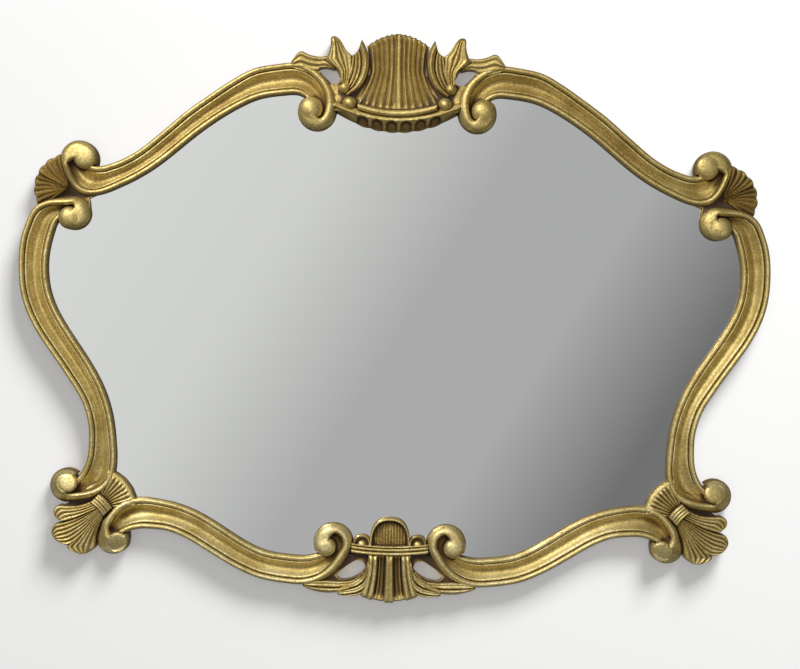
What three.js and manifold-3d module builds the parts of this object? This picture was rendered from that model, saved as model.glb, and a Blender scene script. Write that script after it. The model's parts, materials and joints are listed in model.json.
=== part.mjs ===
// Wall mirror in a carved and gilded scroll frame, in millimetres with +Z up.
// The flat back lies on y = 0, the front faces -Y, and the origin is where the hanger plate is carried.
import * as THREE from 'three';
import { mergeVertices } from 'three/addons/utils/BufferGeometryUtils.js';
import Module from 'manifold-3d';

// The drawing plane: u is the distance from the axis of symmetry, z the height above the pane's middle.
const BEARING_HEIGHT = 341;

// The three rails of one half. A run is the outer edge of the moulding between its two volutes.
// At the start the outer rim curls into a volute, and at the end the inner rim does.
// A volute is a round disc around an eye: its rim leaves the rail at the mouth angle, the channel
// beside the rim ends at the tip angle, and the disc closes on the rail at the close angle.
const TOP_RAIL = {
  run: [[150, 352.5], [190, 345], [220, 329], [250, 308.5], [280, 286.5], [310, 260.5], [340, 235.5],
    [365, 220.5], [385, 213]],
  widths: [42.5, 35.5, 33.5, 33, 34.5],
  innerSide: -1,
  start: { centre: [106.5, 288.5], radius: 26, eye: [115, 291.5], eyeRadius: 17.5,
    mouth: 202, tip: 248, close: 394, pull: 130 },
  end: { centre: [421.5, 219.5], radius: 25.7, eye: [412.5, 222.5], eyeRadius: 16.5,
    mouth: 340, tip: 360, close: 558, pull: 130 },
};
const SIDE_RAIL = {
  run: [[489, 140], [497, 115], [500, 85], [498, 50], [490, 20], [475, -10], [455, -39], [433, -70],
    [413, -102], [403.5, -133], [402.5, -160]],
  widths: [39, 38, 38, 37.5, 36.5],
  innerSide: -1,
  start: { centre: [427, 148.5], radius: 23, eye: [432.5, 141.5], eyeRadius: 16,
    mouth: 85, tip: 118, close: 328, pull: 110 },
  end: { centre: [430.5, -213.5], radius: 22.7, eye: [430.5, -207], eyeRadius: 14,
    mouth: 265, tip: 276, close: 491, pull: 165 },
};
const BOTTOM_RAIL = {
  run: [[130, -340], [155, -337], [180, -331], [210, -317.5], [240, -300], [270, -282.5], [295, -272.7],
    [318, -270]],
  widths: [39, 37.5, 38.5, 40, 41],
  innerSide: 1,
  start: { centre: [74.7, -283.8], radius: 26.9, eye: [84.5, -289], eyeRadius: 14,
    mouth: 206, tip: 88, close: -26, pull: 110 },
  end: { centre: [367, -284], radius: 20.5, eye: [362.5, -287], eyeRadius: 15.5,
    mouth: 40, tip: 13, close: -202, pull: 150 },
};
const RAILS = [TOP_RAIL, SIDE_RAIL, BOTTOM_RAIL];

// Moulding profile: depths are heights above the flat back, widths run across the rail.
const FOOT_DEPTH = 10;
const OUTER_BEAD = { width: 9, depth: 25 };
const INNER_BEAD = { width: 7.5, depth: 22 };
const CURL_BEAD = { width: 12.5, narrowest: 4, depth: 27.5, widenOver: 45 };
const QUIRK_DEPTH = 18.5;
const OUTER_FILLET = { width: 2.6, depth: 21 };
const INNER_FILLET = { width: 1.6, depth: 19.5 };
const COVE = { depth: 6.5, share: 0.3 };
const CROWN_REACH = 6.5;
const EYE_DEPTH = 31;
const EYE_STANDS = 1;
const EYE_HUB = 3;
const BOSS_SHOULDER = [0.72, 0.76];
const CHANNEL_OPENS_OVER = 24;
const TUCK = 0.65;
const BEAD_CREST = 0.45;
const BEAD_MOST = 0.62;

// Carved crest above the pane
const SHELL = { base: 291, baseRise: 7, top: 392, topFall: 16, waist: 38, waistAt: 0.55, flare: 12,
  lip: 2, ridges: 9, ridgeDepth: 2.2, baseDepth: 21, topDepth: 30, crown: 4, steps: 3 };
const WING = {
  left: [[66, 309], [52, 318], [45, 327], [40, 338], [38, 350], [39, 360], [42, 372], [48.5, 384]],
  right: [[73, 316], [69, 328], [65.5, 338], [63, 348], [61.5, 356], [61, 363]],
  depths: [26, 35, 25, 28, 25, 28, 24],
  lift: 2,
};
const UPRIGHT_LEAF = {
  left: [[66, 322], [62, 340], [61, 352], [61, 362], [69, 370], [76, 380.5], [83, 387]],
  right: [[78, 326], [80, 342], [91, 350], [99, 357], [98, 364], [92.5, 375], [86, 386.5]],
  depths: [25, 30, 25, 31, 23],
  lift: 3,
};
const SIDE_LEAF = {
  left: [[84, 347], [92, 361], [105, 361.3], [117, 363.5], [128, 368], [134, 365], [142, 353]],
  right: [[84, 342], [92, 346], [105, 346], [115, 346], [125, 347], [135, 349], [142, 351]],
  depths: [23, 27, 22, 24, 19],
  lift: 1,
};
const CREST_HOLE = { centre: [89, 337.5], halfLength: 17.5, halfWidth: 9.5, tilt: 32 };
const UPPER_PEARL = { centre: [70.5, 320], radius: 8.2, depth: 33 };
const PEARL_SPRING = 24;
const LOWER_PEARL = { centre: [63, 299.5], radius: 9.2, depth: 34 };
const SMILE_BAR = { reach: 56, middle: 288.5, rise: 8.5, thickness: 9, depth: 32, foot: 22, shoulder: 0.8,
  steps: 6 };
const FRINGE = { reach: 77, top: 287, topRise: 9, bottom: 264, bottomRise: 21, gouges: 5, pitch: 19.5,
  gougeWidth: 12, gougeDepth: 4, ledge: 0.35, topDepth: 26, bottomDepth: 19 };
const CREST_GROUND = { outline: [[0, 282], [60, 284], [88, 292], [96, 318], [82, 330], [60, 335], [0, 340]],
  depth: 16 };

// Carved apron below the pane
const LUNETTE = { centre: -288, halfWidth: 26, height: 39.5, hub: 0.08, rim: [0.78, 0.84, 0.94],
  rimDepth: 27, edgeDepth: 16, flutes: 5, fluteDepth: 1.4, floorDepth: 20 };
const LUNETTE_LOBE = { centre: [38, -287], halfWidth: 11, height: 15.8, hub: 0.15, depth: 25, fall: 6 };
const REEDED_BAND = { reach: 52, top: -286.5, rise: 2, height: 14, reeds: 3, depth: 26, groove: 21, steps: 2 };
const APRON_FAN = { top: -299, topHalfWidth: 28, bottom: -362, bottomRise: 9, bottomHalfWidth: 39,
  ribs: 5, ribDepth: 3.4, topDepth: 24, bottomDepth: 22, steps: 2 };
const APRON_LEAF_NEAR = {
  left: [[30, -316], [38, -330], [50, -339], [60, -345], [67, -349]],
  right: [[28, -322], [33, -342], [41, -352.5], [54, -354], [66, -352.5]],
  depths: [20, 25, 20, 24, 18],
  lift: 0,
};
const APRON_LEAF_FAR = {
  left: [[34, -318], [46, -331], [64, -334], [86, -333], [104, -335], [115, -339]],
  right: [[34, -328], [48, -342], [66, -349], [86, -350.3], [103, -347], [115, -342]],
  depths: [18, 23, 19, 24, 18],
  lift: 0,
};
const APRON_HOLE = { centre: [52, -320.5], halfLength: 21.5, halfWidth: 9.8, tilt: -32 };
const APRON_GROUND = { outline: [[0, -290], [60, -300], [92, -322], [112, -336], [70, -341], [30, -345],
  [0, -350]], depth: 14 };

// Fans at the corners, each spreading from its focus between two angles
const TOP_CORNER_FAN = { focus: [432, 180], hub: 6, reach: 47.5, lobe: 2.2, lobes: 4, from: -27, to: 72,
  ridges: 8, ridgeDepth: 2.4, hubDepth: 20, rimDepth: 24 };
const INNER_FAN = { focus: [384, -238], hub: 6, reach: 46, lobe: 1.2, lobes: 4, from: 104, to: 179,
  ridges: 8, ridgeDepth: 2.2, hubDepth: 19, rimDepth: 24 };
const FAN_STEPS = 2;
const FAN_SWELL = 0.6 * Math.PI;
const FAN_RIDGES_START = 0.4;
const CORNER_LEAVES = { focus: [392, -246], hub: 6, edges: [14, -17, -54, -94], reach: [57.7, 66.7, 63],
  falls: [[9.7, 4.5], [13, 6.5], [3, 17]], rimDepth: [26, 28, 25], hubDepth: 20, ridges: 3, ridgeDepth: 2.2,
  roll: 5, steps: 2 };
const TOP_CORNER_GROUND = { outline: [[404, 171], [418, 181], [440, 203], [468, 192], [476, 164], [450, 158],
  [420, 160], [406, 164]], depth: 17 };
const BOTTOM_CORNER_GROUND = { outline: [[368, -200], [400, -214], [424, -234], [438, -242], [432, -268],
  [402, -288], [384, -288], [372, -262], [350, -242], [352, -222]], depth: 15 };
const TIE = { from: [376, -249], to: [396, -230], width: 17, reeds: 3, depth: 30, groove: 25 };

// Pane, board and their rebate behind the sight edge
const REBATE = { lap: 9, depth: 10.6, clearance: 0.5 };
const PANE = { thickness: 4, behind: 6.3 };
const BOARD = { thickness: 3, behind: 3 };
const PANE_OVER_CREST = [[0, 292], [60, 296], [114, 303]];
const PANE_TOP_CORNER = [[424, 182], [449, 163]];
const PANE_BOTTOM_CORNER = [[378, -200], [384, -232], [352, -243]];
const PANE_UNDER_APRON = [[88, -297], [50, -293], [0, -293]];

// Keyhole hanger plate behind the crest, measured from where the wall screw carries it
const PLATE = { width: 19, above: 17, below: 39, thickness: 2, corner: 4 };
const KEYHOLE = { slotWidth: 6, slotTop: -4, headCentre: -22, headRadius: 7 };
const KEY_POCKET = { width: 17, top: -2, bottom: -31, depth: 13 };
const PLATE_SCREW = { heights: [10, -35], headRadius: 3.4, shankRadius: 1.6, headDepth: 1.8, length: 14 };
const FIT = 0.3;

// Facets along and across each carving
const CURL_STEPS = 6;
const LEAD_STEPS = 3;
const RUN_STEPS = 8;
const EYE_SIDES = 10;
const PEARL_SIDES = 8;
const SCREW_SIDES = 6;
const LEAF_STEPS = 5;
const HOLE_SIDES = 4;
const PANE_STEP = 2;
const BACK_ALLOWANCE = 1;
const PLANING = [1200, 10, 1000];
const DEGREE = Math.PI / 180;

const wasm = await Module();
wasm.setup();

const clamp = (value) => Math.min(Math.max(value, 0), 1);
const mix = (a, b, t) => a + (b - a) * t;
const ease = (t) => clamp(t) ** 2 * (3 - 2 * clamp(t));
const blend = (a, b, t) => [mix(a[0], b[0], t), mix(a[1], b[1], t)];
const distance = (a, b) => Math.hypot(b[0] - a[0], b[1] - a[1]);
const polar = (centre, radius, degrees) => [
  centre[0] + radius * Math.cos(degrees * DEGREE),
  centre[1] + radius * Math.sin(degrees * DEGREE),
];
const towards = (a, b, step) => blend(a, b, step / distance(a, b));
const curveOf = (points) => new THREE.SplineCurve(points.map(([u, z]) => new THREE.Vector2(u, z)));

// A closed mesh as a solid with its faces pointing out
function toSolid(geometry) {
  geometry.deleteAttribute('normal');
  geometry.deleteAttribute('uv');
  const merged = mergeVertices(geometry, 1e-4);
  const vertProperties = new Float32Array(merged.getAttribute('position').array);
  const triVerts = new Uint32Array(merged.index.array);
  const solid = new wasm.Manifold(new wasm.Mesh({ numProp: 3, vertProperties, triVerts }));
  if (solid.volume() > 0) return solid;
  triVerts.reverse();
  return new wasm.Manifold(new wasm.Mesh({ numProp: 3, vertProperties, triVerts }));
}

// Rows of points [u, z, depth] as a closed carving, with an allowance behind for planing the back flat
function carving(rows) {
  const along = rows.length - 1;
  const across = rows[0].length - 1;
  const block = new THREE.BoxGeometry(1, 1, 1, across, 1, along);
  const position = block.getAttribute('position');
  for (let i = 0; i < position.count; i++) {
    const row = Math.round((position.getZ(i) + 0.5) * along);
    const column = Math.round((position.getX(i) + 0.5) * across);
    const [u, z, depth] = rows[row][column];
    position.setXYZ(i, u, position.getY(i) < 0 ? -depth : BACK_ALLOWANCE, z);
  }
  return toSolid(block);
}

// The same rows on the other side of the axis
const mirrored = (rows) => rows.map((row) => row.map(([u, z, depth]) => [-u, z, depth]));
const bothSides = (rows) => [carving(rows), carving(mirrored(rows))];

// Rows of a surface given by its two fractions, along and across
function surfaceRows(along, across, point) {
  return Array.from({ length: along + 1 }, (_, i) => (
    Array.from({ length: across + 1 }, (_, j) => point(i / along, j / across))));
}

const shapeOf = (points) => new THREE.Shape(points.map(([u, z]) => new THREE.Vector2(u, z)));

// A flat outline in the drawing plane, as a slab between two depths
function slab(shape, behind, thickness) {
  const geometry = new THREE.ExtrudeGeometry(shape, { depth: thickness, bevelEnabled: false,
    curveSegments: HOLE_SIDES });
  return geometry.rotateX(Math.PI / 2).translate(0, -behind, 0);
}

function symmetricShape(half) {
  const other = half.filter(([u]) => u > 0).map(([u, z]) => [-u, z]).reverse();
  return shapeOf([...half, ...other]);
}

// A point on a smooth curve that leaves a along one direction and reaches b along another
function leadPoint(a, directionA, b, directionB, pull, t) {
  const h = [2 * t ** 3 - 3 * t ** 2 + 1, t ** 3 - 2 * t ** 2 + t, 3 * t ** 2 - 2 * t ** 3, t ** 3 - t ** 2];
  return [0, 1].map((k) => (
    h[0] * a[k] + h[1] * pull * directionA[k] + h[2] * b[k] + h[3] * pull * directionB[k]));
}

// A point on the arc from a to b that starts or ends along the line through a and the corner
const archPoint = (a, corner, b, t) => blend(blend(a, corner, t), blend(corner, b, t), t);

// One section on a volute's disc, by its angle: the rim side lies on the disc, the other at the eye
function curlSection(volute, degrees) {
  const rim = polar(volute.centre, volute.radius, degrees);
  const eye = towards(volute.eye, rim, EYE_HUB);
  const turn = Math.sign(volute.mouth - volute.close);
  return { rim, eye, fromTip: volute.radius * DEGREE * (degrees - volute.tip) * turn };
}

// How a section is carved, by its distance from the tip of the channel and its place on the lead
function rimCarving(volute, rim, eye, fromTip, lead, railBead) {
  const widest = Math.max(distance(rim, eye) + EYE_HUB - volute.eyeRadius, CURL_BEAD.narrowest);
  const curled = mix(widest, CURL_BEAD.width, ease(fromTip / CURL_BEAD.widenOver));
  return {
    width: mix(curled, railBead.width, ease(lead)),
    depth: mix(CURL_BEAD.depth, railBead.depth, ease(lead)),
    closed: 1 - ease(fromTip / CHANNEL_OPENS_OVER),
  };
}

// The sections of a rail from one volute to the other
function railSections(rail) {
  const run = curveOf(rail.run);
  const widths = curveOf(rail.widths.map((width, i) => [i, width]));
  const edgeAt = (t) => {
    const outer = run.getPointAt(t).toArray();
    const [x, y] = run.getTangentAt(t).toArray();
    const width = widths.getPoint(t).y;
    const inner = [outer[0] - rail.innerSide * y * width, outer[1] + rail.innerSide * x * width];
    return { outer, inner, direction: [x, y] };
  };
  const sections = [];
  const addCurl = (volute, side, from, to) => {
    for (let i = 0; i < CURL_STEPS; i++) {
      const step = side === 'outer' ? i : i + 1;
      const { rim, eye, fromTip } = curlSection(volute, mix(from, to, step / CURL_STEPS));
      addSection(volute, side, rim, eye, fromTip, 0);
    }
  };
  const addSection = (volute, side, rim, eye, fromTip, lead) => {
    const carved = rimCarving(volute, rim, eye, fromTip, lead, side === 'outer' ? OUTER_BEAD : INNER_BEAD);
    const plain = side === 'outer' ? INNER_BEAD : OUTER_BEAD;
    sections.push(side === 'outer'
      ? { outer: rim, inner: eye, outerBead: carved, innerBead: plain, side, closed: carved.closed }
      : { outer: eye, inner: rim, outerBead: plain, innerBead: carved, side, closed: carved.closed });
  };
  const addLead = (volute, side, edge) => {
    const [rimEnd, plainEnd] = side === 'outer' ? [edge.outer, edge.inner] : [edge.inner, edge.outer];
    const outward = side === 'outer' ? edge.direction : edge.direction.map((value) => -value);
    const mouth = curlSection(volute, volute.mouth);
    const turn = Math.sign(volute.mouth - volute.close);
    const heading = [-Math.sin(volute.mouth * DEGREE) * turn, Math.cos(volute.mouth * DEGREE) * turn];
    const reach = TUCK * distance(plainEnd, volute.eye);
    const corner = [plainEnd[0] - outward[0] * reach, plainEnd[1] - outward[1] * reach];
    for (let i = 0; i < LEAD_STEPS; i++) {
      const t = side === 'outer' ? i / LEAD_STEPS : 1 - (i + 1) / LEAD_STEPS;
      const rim = leadPoint(mouth.rim, heading, rimEnd, outward, volute.pull, t);
      const eye = archPoint(mouth.eye, corner, plainEnd, t);
      addSection(volute, side, rim, eye, mouth.fromTip + t * volute.pull, t);
    }
  };
  addCurl(rail.start, 'outer', rail.start.close, rail.start.mouth);
  addLead(rail.start, 'outer', edgeAt(0));
  for (let i = 0; i <= RUN_STEPS; i++) {
    const { outer, inner } = edgeAt(i / RUN_STEPS);
    sections.push({ outer, inner, outerBead: OUTER_BEAD, innerBead: INNER_BEAD, side: 'outer', closed: 0,
      onRun: true });
  }
  addLead(rail.end, 'inner', edgeAt(1));
  addCurl(rail.end, 'inner', rail.end.mouth, rail.end.close);
  return sections;
}

// Half-round bead, by the distance in from its edge
function beadDepth(inset, bead) {
  const crown = Math.min(bead.width / 2, CROWN_REACH);
  if (inset < crown) return mix(FOOT_DEPTH, bead.depth, Math.sqrt(1 - (1 - inset / crown) ** 2));
  const fall = clamp((inset - crown) / (bead.width - crown));
  return mix(QUIRK_DEPTH, bead.depth, Math.sqrt(1 - fall ** 2));
}

// Closed part of a volute: the rim swells straight into the eye
function swellDepth(inset, width, bead) {
  if (inset < CROWN_REACH) return mix(FOOT_DEPTH, bead.depth, Math.sqrt(1 - (1 - inset / CROWN_REACH) ** 2));
  const rise = Math.sin((Math.PI / 2) * clamp((inset - CROWN_REACH) / (width - CROWN_REACH)));
  return mix(bead.depth, EYE_DEPTH - EYE_STANDS, rise);
}

// Depth of a rail's section at a distance from its outer edge
function railDepth(section, inset) {
  const width = distance(section.outer, section.inner);
  const coveFrom = section.outerBead.width + OUTER_FILLET.width;
  const coveTo = width - section.innerBead.width - INNER_FILLET.width;
  let open = mix(OUTER_FILLET.depth, INNER_FILLET.depth, clamp((inset - coveFrom) / (coveTo - coveFrom)));
  if (inset > coveFrom && inset < coveTo) {
    const hollow = Math.min(COVE.depth, COVE.share * (coveTo - coveFrom));
    open -= hollow * Math.sin(Math.PI * (inset - coveFrom) / (coveTo - coveFrom));
  }
  if (inset <= section.outerBead.width) open = beadDepth(inset, section.outerBead);
  if (width - inset <= section.innerBead.width) open = beadDepth(width - inset, section.innerBead);
  if (section.closed === 0) return open;
  const curling = section.side === 'outer' ? section.outerBead : section.innerBead;
  const fromRim = section.side === 'outer' ? inset : width - inset;
  return mix(open, swellDepth(fromRim, width, curling), section.closed);
}

// Where a faceted section bends
function railInsets(section) {
  const width = distance(section.outer, section.inner);
  const outer = Math.min(section.outerBead.width, BEAD_MOST * width);
  const inner = Math.min(section.innerBead.width, BEAD_MOST * width, width - outer - 1);
  const coveAt = (share) => mix(outer, width - inner, share);
  return [0, BEAD_CREST * outer, outer, coveAt(1 / 3), coveAt(2 / 3), width - inner,
    width - BEAD_CREST * inner, width];
}

function railRows(sections) {
  return sections.map((section) => {
    const width = distance(section.outer, section.inner);
    return railInsets(section).map((inset) => (
      [...blend(section.outer, section.inner, inset / width), railDepth(section, inset)]));
  });
}

// A turned boss: eye of a volute or a pearl
function boss(centre, radius, depth, sides, spring) {
  const [across, up] = BOSS_SHOULDER;
  const profile = [[0, BACK_ALLOWANCE], [radius, BACK_ALLOWANCE], [radius, -spring],
    [across * radius, -mix(spring, depth, up)], [0, -depth]];
  const turned = new THREE.LatheGeometry(profile.map(([r, y]) => new THREE.Vector2(r, y)), sides);
  return toSolid(turned.translate(centre[0], 0, centre[1]));
}

const bosses = ({ centre, radius, depth }, sides, spring) => (
  [centre, [-centre[0], centre[1]]].map((place) => boss(place, radius, depth, sides, spring)));

// A leaf between two guide curves, with its folds across and a tip that lifts
function leafRows({ left, right, depths, lift }) {
  const [leftCurve, rightCurve] = [curveOf(left), curveOf(right)];
  return surfaceRows(LEAF_STEPS, depths.length - 1, (t, across) => {
    const point = blend(leftCurve.getPointAt(t).toArray(), rightCurve.getPointAt(t).toArray(), across);
    return [...point, depths[Math.round(across * (depths.length - 1))] + lift * t];
  });
}

// A fan of ridges from its focus to a lobed rim
function fanRows(fan) {
  return surfaceRows(FAN_STEPS, 2 * fan.ridges, (t, across) => {
    const lobe = fan.lobe * Math.abs(Math.sin(Math.PI * fan.lobes * across));
    const radius = mix(fan.hub, fan.reach + lobe, t);
    const ridge = fan.ridgeDepth * Math.cos(2 * Math.PI * fan.ridges * across + Math.PI);
    const rise = mix(fan.hubDepth, fan.rimDepth, Math.sin(t * FAN_SWELL));
    const depth = rise + ridge * mix(FAN_RIDGES_START, 1, t);
    return [...polar(fan.focus, radius, mix(fan.from, fan.to, across)), depth];
  });
}

// Three striated leaves side by side on a bottom corner, each rounded at its end
function cornerLeafRows() {
  const { focus, hub, edges, reach, falls, roll, steps } = CORNER_LEAVES;
  const { rimDepth, hubDepth, ridges, ridgeDepth } = CORNER_LEAVES;
  return surfaceRows(steps, 2 * ridges * reach.length, (t, across) => {
    const leaf = Math.min(Math.floor(across * reach.length), reach.length - 1);
    const place = across * reach.length - leaf;
    const end = reach[leaf] - falls[leaf][place < 0.5 ? 0 : 1] * (2 * place - 1) ** 2;
    const rise = mix(hubDepth, rimDepth[leaf], Math.sin(t * FAN_SWELL)) - (t === 1 ? roll : 0);
    const ridge = ridgeDepth * Math.cos(2 * Math.PI * ridges * place + Math.PI);
    return [...polar(focus, mix(hub, end, t), mix(edges[leaf], edges[leaf + 1], place)), rise + ridge];
  });
}

// Reeded ribbon across a line, as the tie of a corner
function tieRows() {
  const along = [TIE.to[0] - TIE.from[0], TIE.to[1] - TIE.from[1]];
  const length = distance(TIE.from, TIE.to);
  const side = [-along[1] / length, along[0] / length];
  return surfaceRows(1, 2 * TIE.reeds, (t, across) => {
    const offset = TIE.width * (across - 0.5);
    const point = blend(TIE.from, TIE.to, t);
    const depth = Math.round(across * 2 * TIE.reeds) % 2 ? TIE.depth : TIE.groove;
    return [point[0] + side[0] * offset, point[1] + side[1] * offset, depth];
  });
}

// Fluted shell of the crest, waisted in the middle
function shellRows() {
  return surfaceRows(SHELL.steps, 2 * SHELL.ridges, (t, across) => {
    const place = 2 * across - 1;
    const below = Math.max(0, 1 - t / SHELL.waistAt);
    const above = Math.max(0, (t - SHELL.waistAt) / (1 - SHELL.waistAt));
    const halfWidth = SHELL.waist + SHELL.flare * below ** 2 + SHELL.lip * above ** 2;
    const base = SHELL.base + SHELL.baseRise * place ** 2;
    const top = SHELL.top - SHELL.topFall * place ** 2;
    const ridge = SHELL.ridgeDepth * Math.cos(2 * Math.PI * SHELL.ridges * across + Math.PI);
    const depth = mix(SHELL.baseDepth, SHELL.topDepth, t) + SHELL.crown * (1 - place ** 2) + ridge;
    return [halfWidth * place, mix(base, top, t), depth];
  });
}

function smileBarRows() {
  const depths = [SMILE_BAR.foot, mix(SMILE_BAR.foot, SMILE_BAR.depth, SMILE_BAR.shoulder), SMILE_BAR.depth,
    mix(SMILE_BAR.foot, SMILE_BAR.depth, SMILE_BAR.shoulder), SMILE_BAR.foot];
  return surfaceRows(SMILE_BAR.steps, depths.length - 1, (t, across) => {
    const place = 2 * t - 1;
    const z = SMILE_BAR.middle + SMILE_BAR.rise * place ** 2 + SMILE_BAR.thickness * (across - 0.5);
    return [SMILE_BAR.reach * place, z, depths[Math.round(across * (depths.length - 1))]];
  });
}

// Scalloped fringe under the bar, gouged at regular steps
function fringeRows() {
  const outermost = (FRINGE.gouges - 1) / 2;
  const middles = Array.from({ length: FRINGE.gouges }, (_, i) => (i - outermost) * FRINGE.pitch);
  const half = FRINGE.gougeWidth / 2;
  const bends = middles.flatMap((u) => [[u - half, false], [u, true], [u + half, false]]);
  return [[-FRINGE.reach, false], ...bends, [FRINGE.reach, false]].map(([u, gouged]) => {
    const share = (u / FRINGE.reach) ** 2;
    const top = FRINGE.top + FRINGE.topRise * share;
    const bottom = FRINGE.bottom + FRINGE.bottomRise * share;
    return [0, FRINGE.ledge, 1].map((across) => {
      const gouge = gouged && across > 0 ? FRINGE.gougeDepth : 0;
      return [u, mix(top, bottom, across), mix(FRINGE.topDepth, FRINGE.bottomDepth, across) - gouge];
    });
  });
}

// Half-round lunette: a raised rim around a fluted floor
function lunetteRows() {
  const { centre, halfWidth, height, hub, rim, flutes } = LUNETTE;
  const { rimDepth, edgeDepth, fluteDepth, floorDepth } = LUNETTE;
  const [rimFoot, rimInner, rimOuter] = rim;
  const rings = [[hub, floorDepth, fluteDepth], [rimFoot, floorDepth, fluteDepth], [rimInner, rimDepth, 0],
    [rimOuter, rimDepth, 0], [1, edgeDepth, 0]];
  return rings.map(([ring, depth, flute]) => Array.from({ length: 2 * flutes + 1 }, (_, j) => {
    const angle = Math.PI * (j / (2 * flutes));
    const point = [halfWidth * ring * Math.cos(angle), centre + height * ring * Math.sin(angle)];
    return [...point, depth + (j % 2 ? flute : -flute)];
  }));
}

function lunetteLobeRows() {
  const { centre, halfWidth, height, hub, depth, fall } = LUNETTE_LOBE;
  return surfaceRows(2, 6, (t, across) => {
    const ring = mix(hub, 1, t);
    const angle = Math.PI * across;
    return [centre[0] + halfWidth * ring * Math.cos(angle), centre[1] + height * ring * Math.sin(angle),
      depth - fall * t ** 3];
  });
}

function reededBandRows() {
  return surfaceRows(2 * REEDED_BAND.reeds, REEDED_BAND.steps, (t, across) => {
    const place = 2 * across - 1;
    const z = REEDED_BAND.top + REEDED_BAND.rise * place ** 2 - REEDED_BAND.height * t;
    const depth = Math.round(t * 2 * REEDED_BAND.reeds) % 2 ? REEDED_BAND.depth : REEDED_BAND.groove;
    return [REEDED_BAND.reach * place, z, depth];
  });
}

// Fluted fan under the band, spreading downwards
function apronFanRows() {
  return surfaceRows(APRON_FAN.steps, 4 * APRON_FAN.ribs, (t, across) => {
    const place = 2 * across - 1;
    const halfWidth = mix(APRON_FAN.topHalfWidth, APRON_FAN.bottomHalfWidth, t ** 2);
    const bottom = APRON_FAN.bottom + APRON_FAN.bottomRise * place ** 2;
    const rib = APRON_FAN.ribDepth * Math.cos(2 * Math.PI * APRON_FAN.ribs * (across - 0.5));
    const depth = mix(APRON_FAN.topDepth, APRON_FAN.bottomDepth, t) + rib;
    return [halfWidth * place, mix(APRON_FAN.top, bottom, t), depth];
  });
}

function ovalCut({ centre, halfLength, halfWidth, tilt }, side) {
  const oval = new THREE.Shape();
  const turn = side * tilt * DEGREE;
  oval.absellipse(side * centre[0], centre[1], halfLength, halfWidth, 0, 2 * Math.PI, false, turn);
  return toSolid(slab(oval, -BACK_ALLOWANCE, 2 * EYE_DEPTH));
}

// The pane's outline follows each rail a little way in from the sight edge
function paneOutline(sectionsOfRails, spare) {
  const [top, side, bottom] = sectionsOfRails.map((sections) => (
    sections.filter((section) => section.onRun)
      .filter((section, i) => i % PANE_STEP === 0)
      .map(({ outer, inner }) => towards(inner, outer, REBATE.lap + spare))));
  return [...PANE_OVER_CREST, ...top, ...PANE_TOP_CORNER, ...side, ...PANE_BOTTOM_CORNER, ...bottom.reverse(),
    ...PANE_UNDER_APRON];
}

function plateShape(spare) {
  const { width, above, below, corner } = PLATE;
  const [left, right] = [-width / 2 - spare, width / 2 + spare];
  const [low, high] = [BEARING_HEIGHT - below - spare, BEARING_HEIGHT + above + spare];
  return shapeOf([[left + corner, low], [right - corner, low], [right, low + corner], [right, high - corner],
    [right - corner, high], [left + corner, high], [left, high - corner], [left, low + corner]]);
}

function keyholePath() {
  const half = KEYHOLE.slotWidth / 2;
  const meets = Math.asin(half / KEYHOLE.headRadius);
  const top = BEARING_HEIGHT + KEYHOLE.slotTop - half;
  const path = new THREE.Path();
  path.moveTo(half, top);
  path.absarc(0, top, half, 0, Math.PI);
  path.absarc(0, BEARING_HEIGHT + KEYHOLE.headCentre, KEYHOLE.headRadius, Math.PI / 2 + meets,
    2.5 * Math.PI - meets);
  path.closePath();
  return path;
}

// Room behind the keyhole for the head of the wall screw
function keyPocket() {
  const { width, top, bottom, depth } = KEY_POCKET;
  const room = new THREE.BoxGeometry(width, depth + BACK_ALLOWANCE, top - bottom);
  return room.translate(0, (BACK_ALLOWANCE - depth) / 2, BEARING_HEIGHT + (top + bottom) / 2);
}

// A countersunk screw with its head flush with the plate, or the room around it
function screwSolid(height, spare) {
  const { headRadius, shankRadius, headDepth, length } = PLATE_SCREW;
  const mouth = spare > 0 ? BACK_ALLOWANCE : -FIT;
  const head = headRadius + spare;
  const shank = shankRadius + spare;
  const profile = [[0, mouth], [head, mouth], [head, -2 * FIT], [shank, -headDepth - FIT],
    [shank, -length - spare], [0, -length - spare]];
  const turned = new THREE.LatheGeometry(profile.map(([r, y]) => new THREE.Vector2(r, y)), SCREW_SIDES);
  return toSolid(turned.translate(0, 0, BEARING_HEIGHT + height));
}

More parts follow.
